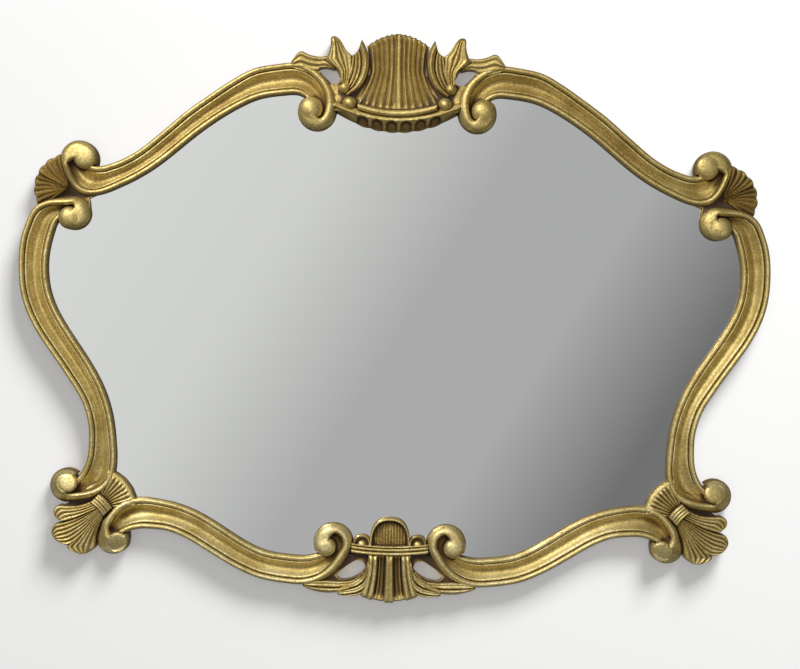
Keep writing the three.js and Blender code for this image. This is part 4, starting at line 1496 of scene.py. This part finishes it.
@dataclass(frozen=True)
class GoldLeaf:
    """Aged gold leaf over gesso: pale where rubbed, yellow on the swells, brown patina and painted shade in
    the hollows, specked.
    """

    pale: str = "#f1e6ba"
    bright: str = "#cbb672"
    dull: str = "#8b7039"
    brown: str = "#573f1b"
    deep: str = "#3b2711"
    mottle_mm: float = 26.0
    grain_mm: float = 2.2
    speck_mm: float = 1.8
    hollow_span: Span = (0.0, 6.0)
    crease_span: Span = (0.4, 2.6)
    side_span: Span = (0.06, 0.46)
    height_span: Span = (-0.7, 0.05)
    speck_span: Span = (0.66, 0.74)
    # The hollow and crease weights paint brown patina together with painted shade into the colour
    hollow_patina_and_shade: float = 0.5
    crease_patina_and_shade: float = 0.95
    side_age: float = 0.15
    soot_age: float = 0.11
    mottle_age: float = 0.4
    grain_age: float = 0.55
    least_aging_and_shade: float = -0.33
    metallic: Span = (0.85, 0.2)
    roughness: Span = (0.49, 0.68)

    def material(self) -> bpy.types.Material:
        """The material, which reads the hollow, crease and side of the carving at each point.

        Returns:
            The new material.
        """
        material, tree, surface_socket = new_material("aged gold leaf over gesso")
        coords = add_node(tree, "ShaderNodeTexCoord").outputs["Object"]
        hollow, crease, side = (
            add_node(tree, "ShaderNodeAttribute", settings={"attribute_name": layer.value}).outputs["Fac"]
            for layer in (Layer.HOLLOW, Layer.CREASE, Layer.SIDE))
        height = add_node(tree, "ShaderNodeSeparateXYZ", Vector=coords).outputs["Z"]
        grain = noise(tree, coords, self.grain_mm, 3.0, 0.6)
        # Brown patina and painted shade gather where the carving lies lower than what is round it, and soot
        # on the upper carvings
        leaf_age_and_shade = self.total(tree, (
            (ranged(tree, hollow, self.hollow_span), self.hollow_patina_and_shade),
            (ranged(tree, crease, self.crease_span), self.crease_patina_and_shade),
            (ranged(tree, side, self.side_span), self.side_age),
            (ranged(tree, height, self.height_span), self.soot_age),
            (noise(tree, coords, self.mottle_mm, 5.0, 0.65), self.mottle_age),
            (grain, self.grain_age)))
        # The ramp runs from pale leaf to deep brown with aging, patina and painted shade
        colour = add_node(tree, "ShaderNodeValToRGB", Fac=leaf_age_and_shade, stops=(
            (0.0, self.pale), (1.0, self.deep), (0.2, self.bright), (0.45, self.dull), (0.72, self.brown)))
        # Small dark specks where the leaf has worn through to the ground
        speck = ranged(tree, noise(tree, coords, self.speck_mm, 1.0), self.speck_span)
        specked = add_node(tree, "ShaderNodeMix", settings={"data_type": "RGBA", "blend_type": "MIX"},
                           _0=speck, _6=colour.outputs["Color"], _7=linear(self.brown))
        # Metal and gloss fall with the aging and painted shade, and with the specks
        worn_and_shaded = add_node(tree, "ShaderNodeMath", settings={"operation": "MAXIMUM"}, _0=leaf_age_and_shade,
                        _1=speck).outputs[0]
        # Brush marks in the gesso keep the highlights from running clean
        bump = add_node(tree, "ShaderNodeBump", Strength=0.35, Distance=0.6 * MM, Height=grain)
        shader = add_node(tree, "ShaderNodeBsdfPrincipled", Base_Color=specked.outputs[2],
                          Metallic=ranged(tree, worn_and_shaded, (0.35, 0.8), self.metallic),
                          Roughness=ranged(tree, worn_and_shaded, (0.0, 0.8), self.roughness), Normal=bump.outputs[0])
        tree.links.new(shader.outputs[0], surface_socket)
        return material

    def total(self, tree: bpy.types.NodeTree,
              terms: Sequence[tuple[bpy.types.NodeSocket, float]]) -> bpy.types.NodeSocket:
        """The leaf's aging and its painted shade as a weighted sum.

        Args:
            tree: Tree that gets the nodes.
            terms: Sockets with their weights.

        Returns:
            The socket of the sum, limited to 0 to 1.
        """
        so_far: object = self.least_aging_and_shade
        for socket, weight in terms:
            step = add_node(tree, "ShaderNodeMath", settings={"operation": "MULTIPLY_ADD"}, _0=socket,
                            _1=weight, _2=so_far)
            so_far = step.outputs[0]
        step.use_clamp = True
        return so_far


@dataclass(frozen=True)
class StainedWood:
    """Dark-stained softwood of the frame's back: brown, with a long grain."""

    light: str = "#7a5a38"
    dark: str = "#4b3420"
    grain_mm: float = 5.0
    fibre: tuple[float, float, float] = (0.08, 1.0, 1.0)

    def material(self) -> bpy.types.Material:
        """The material.

        Returns:
            The new material.
        """
        material, tree, surface_socket = new_material("stained softwood")
        coords = add_node(tree, "ShaderNodeTexCoord").outputs["Object"]
        # Stretched noise reads as long fibres along the boards
        stretch = add_node(tree, "ShaderNodeMapping", Vector=coords, Scale=self.fibre)
        grain = noise(tree, stretch.outputs[0], self.grain_mm, 6.0, 0.6)
        colour = add_node(tree, "ShaderNodeValToRGB", Fac=grain,
                          stops=((0.3, self.dark), (0.7, self.light)))
        bump = add_node(tree, "ShaderNodeBump", Strength=0.3, Distance=0.5 * MM, Height=grain)
        shader = add_node(tree, "ShaderNodeBsdfPrincipled", Base_Color=colour.outputs["Color"],
                          Roughness=0.72, Normal=bump.outputs[0])
        tree.links.new(shader.outputs[0], surface_socket)
        return material


@dataclass(frozen=True)
class SilveredGlass:
    """Back-silvered float glass: a clear, faintly cool reflection with a trace of haze."""

    silver: str = "#f3f5f4"
    haze_mm: float = 90.0
    roughness: Span = (0.0, 0.03)

    def material(self) -> bpy.types.Material:
        """The material.

        Returns:
            The new material.
        """
        material, tree, surface_socket = new_material("back-silvered glass")
        coords = add_node(tree, "ShaderNodeTexCoord").outputs["Object"]
        # Faint haze from wiping keeps the reflection from being perfect
        haze = noise(tree, coords, self.haze_mm, 4.0)
        shader = add_node(tree, "ShaderNodeBsdfPrincipled", Base_Color=linear(self.silver), Metallic=1.0,
                          Roughness=ranged(tree, haze, (0.0, 1.0), self.roughness))
        tree.links.new(shader.outputs[0], surface_socket)
        return material


@dataclass(frozen=True)
class Hardboard:
    """Pressed brown fibreboard: matt, finely flecked."""

    light: str = "#8a6742"
    dark: str = "#5f4429"
    fleck_mm: float = 2.5

    def material(self) -> bpy.types.Material:
        """The material.

        Returns:
            The new material.
        """
        material, tree, surface_socket = new_material("pressed hardboard")
        coords = add_node(tree, "ShaderNodeTexCoord").outputs["Object"]
        # Short flecks of fibre in two browns
        fleck = noise(tree, coords, self.fleck_mm, 6.0, 0.7)
        colour = add_node(tree, "ShaderNodeValToRGB", Fac=fleck,
                          stops=((0.32, self.dark), (0.68, self.light)))
        shader = add_node(tree, "ShaderNodeBsdfPrincipled", Base_Color=colour.outputs["Color"], Roughness=0.8)
        tree.links.new(shader.outputs[0], surface_socket)
        return material


@dataclass(frozen=True)
class ZincPlate:
    """Zinc-plated steel: grey metal with a dull, cloudy bloom."""

    light: str = "#c9cbcc"
    dark: str = "#96999b"
    cloud_mm: float = 7.0
    roughness: Span = (0.3, 0.5)

    def material(self) -> bpy.types.Material:
        """The material.

        Returns:
            The new material.
        """
        material, tree, surface_socket = new_material("zinc-plated steel")
        coords = add_node(tree, "ShaderNodeTexCoord").outputs["Object"]
        # Cloudy bloom varies both the tone and the gloss
        cloud = noise(tree, coords, self.cloud_mm, 5.0)
        colour = add_node(tree, "ShaderNodeValToRGB", Fac=cloud,
                          stops=((0.35, self.dark), (0.65, self.light)))
        shader = add_node(tree, "ShaderNodeBsdfPrincipled", Base_Color=colour.outputs["Color"], Metallic=1.0,
                          Roughness=ranged(tree, cloud, (0.0, 1.0), self.roughness))
        tree.links.new(shader.outputs[0], surface_socket)
        return material


@dataclass(frozen=True)
class Ornament:
    """A carved area whose wide hollows take brown patina and painted shade, by its middle, its radius and how
    much more they take.
    """

    centre: Point
    reach: float
    extra_patina_and_shade: float


@dataclass
class CarvedFrame:
    """The whole carved and gilded frame as one piece, planed behind and cut for pane, plate and holes."""

    rails: ScrollRails = field(default_factory=ScrollRails)
    crest: Crest = field(default_factory=Crest)
    apron: Apron = field(default_factory=Apron)
    top_corners: TopCorners = field(default_factory=TopCorners)
    bottom_corners: BottomCorners = field(default_factory=BottomCorners)
    planing: tuple[float, float, int, int] = (1100.0, 900.0, 55, 45)
    clearance: float = 0.0005
    pocket: tuple[float, float, float, float] = (17.0, -2.0, -31.0, 13.0)
    # Ornaments whose hollows get extra brown patina and painted shade
    ornaments: tuple[Ornament, ...] = (
        Ornament((0, 318), 80.0, -1.0), Ornament((0, -318), 52.0, 0.6), Ornament((462, 190), 27.0, 0.5),
        Ornament((425, -268), 30.0, 1.0), Ornament((360, -222), 26.0, 0.8), Ornament((0, -270), 14.0, 2.6))
    ornament_fade: float = 14.0
    # How far the outer sides stay free of the patina and painted shade, and how much of the crease mark they
    # keep
    unmarked_side: float = 0.3
    side_crease_keep: float = 0.3
    cell: float = 1.0
    surroundings: tuple[tuple[Layer, float], ...] = (
        (Layer.HOLLOW, 7.0), (Layer.CREASE, 2.3), (Layer.SIDE, 1.7))
    least_cover: float = 0.05
    deepest_crease: float = 3.0
    hole_corners: int = 60
    hole_depth: float = 60.0
    weld: float = 2e-5
    smooth_angle: float = 38.0
    bare_from: float = 0.7
    gilding: GoldLeaf = GoldLeaf()
    bare: StainedWood = StainedWood()

    def holes(self) -> list[bpy.types.Object]:
        """Cutters for the pierced holes of the crest and apron."""
        return [hole for outline in (self.crest.hole, self.apron.hole)
                for hole in slab_pair("hole", closed_curve(outline, self.hole_corners), self.hole_depth)]

    def pane_room(self) -> bpy.types.Object:
        """Cutter for the rebate: a copy of the pane, a little larger and open behind.

        Returns:
            The cutter.
        """
        pick(frame["nodes"]["mirror_glass"])
        bpy.ops.object.duplicate()
        room = bpy.context.active_object
        for name in [key for key in room.keys() if key.startswith("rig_")]:
            del room[name]
        bpy.ops.object.parent_clear(type="CLEAR_KEEP_TRANSFORM")
        bpy.ops.object.mode_set(mode="EDIT")
        bpy.ops.mesh.select_all(action="SELECT")
        bpy.ops.mesh.remove_doubles(threshold=1e-6)
        bpy.ops.mesh.normals_make_consistent(inside=False)
        bpy.ops.transform.shrink_fatten(value=self.clearance)
        bpy.ops.object.mode_set(mode="OBJECT")
        middle = sum(v.co.y for v in room.data.vertices) / len(room.data.vertices)
        for vertex in room.data.vertices:
            if vertex.co.y > middle:
                vertex.co.y = 0.01
        return room

    def box(self, name: str, low: Sequence[float], high: Sequence[float]) -> bpy.types.Object:
        """A plain box between two corners, for cutting with.

        Args:
            name: Name of the new object.
            low: Lowest corner in metres.
            high: Highest corner in metres.

        Returns:
            The box.
        """
        clear_selection()
        low_corner, high_corner = Vector(low), Vector(high)
        bpy.ops.mesh.primitive_cube_add(size=1.0, location=(low_corner + high_corner) / 2.0,
                                        scale=high_corner - low_corner)
        bpy.context.active_object.name = name
        bpy.ops.object.transform_apply(location=True, rotation=False, scale=True)
        return bpy.context.active_object

    def plank(self) -> bpy.types.Object:
        """Cutter that planes the back flat, in small faces so that no face of the back has a gap in it.

        Returns:
            The cutter.
        """
        width, height, across, up = self.planing
        u = np.linspace(-0.5, 0.5, across + 1)[None, :] * width
        z = np.linspace(-0.5, 0.5, up + 1)[:, None] * height
        plank = carve("plank", surface(u, z, np.zeros((1, 1))))
        plank.scale.y = 20.0
        bpy.ops.object.transform_apply(location=False, rotation=False, scale=True)
        return plank

    def fittings_room(self) -> list[bpy.types.Object]:
        """Cutters for the hanger plate and for the wall screw's head.

        Returns:
            The cutters.
        """
        low, high = (Vector(corner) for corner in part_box("hanger_plate"))
        gap = Vector((self.clearance,) * 3)
        width, top, bottom, depth = self.pocket
        return [self.box("plate_room", low - gap, (high.x + gap.x, 0.01, high.z + gap.z)),
                self.box("key_room", (-width / 2.0 * MM, -depth * MM, bottom * MM),
                         (width / 2.0 * MM, 0.01, top * MM))]

    def build(self) -> bpy.types.Object:
        """Joins the carvings, planes the back and cuts the openings.

        Returns:
            The frame as one closed mesh.
        """
        parts = (self.rails, self.crest, self.apron, self.top_corners, self.bottom_corners)
        body, *others = [piece for part in parts for piece in part.pieces()]
        boolean(body, others, Step.JOIN)
        boolean(body, [self.plank(), self.pane_room(), *self.holes(), *self.fittings_room()], Step.CUT)
        body.name = body.data.name = "gilt_frame"
        pick(body)
        bpy.ops.object.mode_set(mode="EDIT")
        bpy.ops.mesh.select_all(action="SELECT")
        bpy.ops.mesh.remove_doubles(threshold=self.weld)
        bpy.ops.object.mode_set(mode="OBJECT")
        bpy.ops.object.shade_smooth_by_angle(angle=math.radians(self.smooth_angle))
        return body

    def relief_map(self, body: bpy.types.Object) -> tuple[np.ndarray, np.ndarray, Point]:
        """Height of the carving on a grid over its front.

        Args:
            body: The carved frame.

        Returns:
            Depths in millimetres, which cells lie on the frame, and the corner of the grid in metres.
        """
        tree = BVHTree.FromObject(body, bpy.context.evaluated_depsgraph_get())
        low, high = (Vector(corner) for corner in (body.bound_box[0], body.bound_box[6]))
        step = self.cell * MM
        columns, rows = (math.ceil((high[k] - low[k]) / step) + 1 for k in (0, 2))
        depth = np.zeros((rows, columns))
        solid = np.zeros((rows, columns))
        towards = Vector((0.0, 1.0, 0.0))
        for j in range(rows):
            for i in range(columns):
                hit = tree.ray_cast(Vector((low.x + i * step, -0.2, low.z + j * step)), towards)[0]
                if hit:
                    depth[j, i], solid[j, i] = -hit.y / MM, 1.0
        return depth, solid, (low.x, low.z)

    def blurred(self, values: np.ndarray, sigma: float) -> np.ndarray:
        """A grid smoothed over a radius in millimetres.

        Args:
            values: The grid.
            sigma: The radius.

        Returns:
            The smoothed grid.
        """
        pad = int(4 * sigma / self.cell)
        wide = np.pad(values, pad)
        fy = np.fft.fftfreq(wide.shape[0])[:, None]
        fx = np.fft.rfftfreq(wide.shape[1])[None, :]
        kernel = np.exp(-2.0 * (np.pi * sigma / self.cell) ** 2 * (fx ** 2 + fy ** 2))
        smooth = np.fft.irfft2(np.fft.rfft2(wide) * kernel, s=wide.shape)
        return smooth[pad:-pad, pad:-pad]

    def weather(self, body: bpy.types.Object) -> None:
        """Stores at each vertex how far it lies below the carving round it and how near to an outer edge.

        The wide hollows count only in the ornaments, so the coves of the rails get no patina and no painted
        shade from them.

        Args:
            body: The carved frame.
        """
        depth, solid, corner = self.relief_map(body)
        places = vertex_places(body)
        column = np.clip((places[:, 0] - corner[0]) / (self.cell * MM), 0, depth.shape[1] - 1.001)
        row = np.clip((places[:, 2] - corner[1]) / (self.cell * MM), 0, depth.shape[0] - 1.001)
        i, j = column.astype(int), row.astype(int)
        f, g = column - i, row - j
        stand = -places[:, 1] / MM
        layers = {}
        for layer, sigma in self.surroundings:
            cover = self.blurred(solid, sigma)
            level = self.blurred(depth, sigma) / np.maximum(cover, self.least_cover)
            level = 1.0 - cover if layer is Layer.SIDE else level
            around = ((level[j, i] * (1 - f) + level[j, i + 1] * f) * (1 - g)
                      + (level[j + 1, i] * (1 - f) + level[j + 1, i + 1] * f) * g)
            layers[layer] = around if layer is Layer.SIDE else around - stand
        # The hollow mark is brown patina with painted shade, stronger in the ornaments
        ornate = np.zeros(len(places))
        for ornament in self.ornaments:
            away = np.hypot(np.abs(places[:, 0]) / MM - ornament.centre[0],
                            places[:, 2] / MM + BEARING_HEIGHT - ornament.centre[1])
            near = 1.0 - ease((away - ornament.reach) / self.ornament_fade)
            ornate = np.maximum(ornate, near * (layers[Layer.HOLLOW] + ornament.extra_patina_and_shade))
        # The outer sides lie low too, but nothing hangs over them, so like the front they take no patina and
        # no painted shade
        inward = 1.0 - ease(layers[Layer.SIDE] / self.unmarked_side)
        layers[Layer.HOLLOW] = ornate * inward
        crease = np.minimum(layers[Layer.CREASE], self.deepest_crease)
        layers[Layer.CREASE] = crease * mix(self.side_crease_keep, 1.0, inward)
        for layer, values in layers.items():
            stored = body.data.attributes.new(layer.value, "FLOAT", "POINT")
            stored.data.foreach_set("value", values.astype(np.float32))

    def dress(self, body: bpy.types.Object) -> None:
        """Gilds the frame and leaves its back in stained wood.

        Args:
            body: The carved frame.
        """
        body.data.materials.clear()
        body.data.materials.append(self.gilding.material())
        body.data.materials.append(self.bare.material())
        for face in body.data.polygons:
            face.material_index = int(face.normal.y > self.bare_from)


@dataclass(frozen=True)
class Lamp:
    """A square lamp, by its place and size in metres and its power in watts."""

    name: str
    place: tuple[float, float, float]
    size: float
    power: float


@dataclass
class Studio:
    """A plain wall and floor, soft light, and the camera where the photograph was taken."""

    lens: float = 85.0
    sensor: float = 36.0
    camera_place: tuple[float, float, float] = (0.00875, -2.527, -0.34683)
    roll: float = -1.0
    wall_y: float = 0.004
    floor_z: float = -1.7
    middle_z: float = -0.34
    extent: float = 9.0
    plaster: str = "#f2f2f1"
    plaster_glow: float = 0.26
    slant: tuple[float, float, float] = (0.857, 0.0, -0.515)
    tones: tuple[tuple[float, str], ...] = (
        (0.0, "#8c8c8a"), (1.0, "#a0a09e"), (0.25, "#e4e4e2"), (0.42, "#d8d8d6"), (0.5, "#b2b2b2"),
        (0.57, "#b2b2b2"), (0.64, "#757575"))
    tone_span: Span = (-0.5, 0.5)
    ahead_span: Span = (-0.92, -0.7)
    ahead_light: Span = (1.0, 0.26)
    wall_span: Span = (0.0, 0.3)
    wall_light: Span = (0.0, 1.1)
    lamps: tuple[Lamp, ...] = (
        Lamp("key", (-1.1, -1.6, 1.25), 0.8, 54.0), Lamp("fill", (1.5, -1.8, -1.3), 1.2, 5.5),
        Lamp("front", (-0.2, -2.3, 0.35), 0.7, 11.0), Lamp("wall_wash", (1.8, -2.6, 3.4), 2.0, 260.0))

    def camera(self) -> None:
        """Adds the camera, frontal and very slightly rolled."""
        bpy.ops.object.camera_add(location=self.camera_place,
                                  rotation=(math.radians(90.0), math.radians(self.roll), 0.0))
        camera = bpy.context.active_object
        camera.data.lens, camera.data.sensor_width = self.lens, self.sensor
        camera.data.dof.use_dof = False
        bpy.context.scene.camera = camera

    def room(self) -> None:
        """Adds the room that the pane mirrors, bright to the left and dim to the sides."""
        scene = bpy.context.scene
        scene.view_settings.view_transform = "Standard"
        world = bpy.data.worlds.new("room")
        scene.world = world
        world.use_nodes = True
        tree = world.node_tree
        tree.nodes.clear()
        direction = add_node(tree, "ShaderNodeTexCoord").outputs["Generated"]
        across = add_node(tree, "ShaderNodeVectorMath", settings={"operation": "DOT_PRODUCT"}, _0=direction,
                          _1=self.slant)
        tone = add_node(tree, "ShaderNodeValToRGB", stops=self.tones,
                        Fac=ranged(tree, across.outputs["Value"], self.tone_span))
        ahead = add_node(tree, "ShaderNodeSeparateXYZ", Vector=direction).outputs["Y"]
        # The white wall behind throws light back on the sides of the carving
        level = add_node(tree, "ShaderNodeMath", settings={"operation": "MAXIMUM"},
                         _0=ranged(tree, ahead, self.ahead_span, self.ahead_light),
                         _1=ranged(tree, ahead, self.wall_span, self.wall_light))
        shade = add_node(tree, "ShaderNodeBackground", Color=tone.outputs["Color"], Strength=level.outputs[0])
        output = add_node(tree, "ShaderNodeOutputWorld")
        tree.links.new(shade.outputs[0], output.inputs["Surface"])

    def light(self) -> None:
        """Adds the lamps, which face the middle of the mirror."""
        for lamp in self.lamps:
            bpy.ops.object.light_add(type="AREA", location=lamp.place)
            made = bpy.context.active_object
            made.name = lamp.name
            aim = Vector((0.0, 0.0, self.middle_z)) - Vector(lamp.place)
            made.rotation_euler = aim.to_track_quat("-Z", "Y").to_euler()
            made.data.size, made.data.energy = lamp.size, lamp.power

    def link_light(self, lamps: Sequence[str], name: str, pieces: Sequence[bpy.types.Object]) -> None:
        """Limits lamps to some pieces.

        Args:
            lamps: Names of the lamps.
            name: Name of the group.
            pieces: What they light.
        """
        group = bpy.data.collections.new(name)
        for piece in pieces:
            group.objects.link(piece)
        for lamp in lamps:
            bpy.data.objects[lamp].light_linking.receiver_collection = group

    def backdrop(self) -> None:
        """Adds the wall, which hides nothing from behind, and the floor."""
        made = []
        for name, place, tilt in (("wall", (0.0, self.wall_y, self.middle_z), 90.0),
                                  ("floor", (0.0, 0.0, self.floor_z), 0.0)):
            clear_selection()
            bpy.ops.mesh.primitive_plane_add(size=self.extent, location=place,
                                             rotation=(math.radians(tilt), 0.0, 0.0))
            bpy.context.active_object.name = name
            made.append(bpy.context.active_object)
        material, tree, surface_socket = new_material("white painted plaster")
        paint = add_node(tree, "ShaderNodeBsdfPrincipled", Base_Color=linear(self.plaster), Roughness=0.9,
                         Emission_Color=linear("#ffffff"), Emission_Strength=self.plaster_glow)
        clear = add_node(tree, "ShaderNodeBsdfTransparent")
        behind = add_node(tree, "ShaderNodeNewGeometry").outputs["Backfacing"]
        either = add_node(tree, "ShaderNodeMixShader", _0=behind, _1=paint.outputs[0], _2=clear.outputs[0])
        tree.links.new(either.outputs[0], surface_socket)
        for piece in made:
            piece.data.materials.append(material)
            piece.visible_diffuse = piece.visible_glossy = False
        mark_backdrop(*made)
        self.link_light(("wall_wash",), "lit_by_wash", made)
        self.link_light(("key", "fill"), "lit_by_key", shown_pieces())
        self.link_light(("front",), "lit_from_the_front",
                        [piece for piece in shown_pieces() if piece.name != "mirror_glass"])


def main() -> None:
    """Builds the classes in order, rides each piece on the root body and reports it."""
    logging.basicConfig(level=logging.INFO, format="%(message)s")
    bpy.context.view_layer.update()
    carved = CarvedFrame()
    body = carved.build()
    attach(body, "root")
    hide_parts("carved_frame")
    carved.weather(body)
    carved.dress(body)
    log.info("%s: %d faces, %d triangles", body.name, len(body.data.polygons),
             sum(len(face.vertices) - 2 for face in body.data.polygons))
    nodes = frame["nodes"]
    for node, finish in (("mirror_glass", SilveredGlass()), ("backing_board", Hardboard()),
                         ("hanger_plate", ZincPlate()), ("hanger_screw_upper", ZincPlate()),
                         ("hanger_screw_lower", ZincPlate())):
        nodes[node].data.materials.clear()
        nodes[node].data.materials.append(finish.material())
        log.info("%s: %s", node, nodes[node].data.materials[0].name)
    studio = Studio()
    studio.camera()
    studio.room()
    studio.light()
    studio.backdrop()


if __name__ == "__main__":
    main()
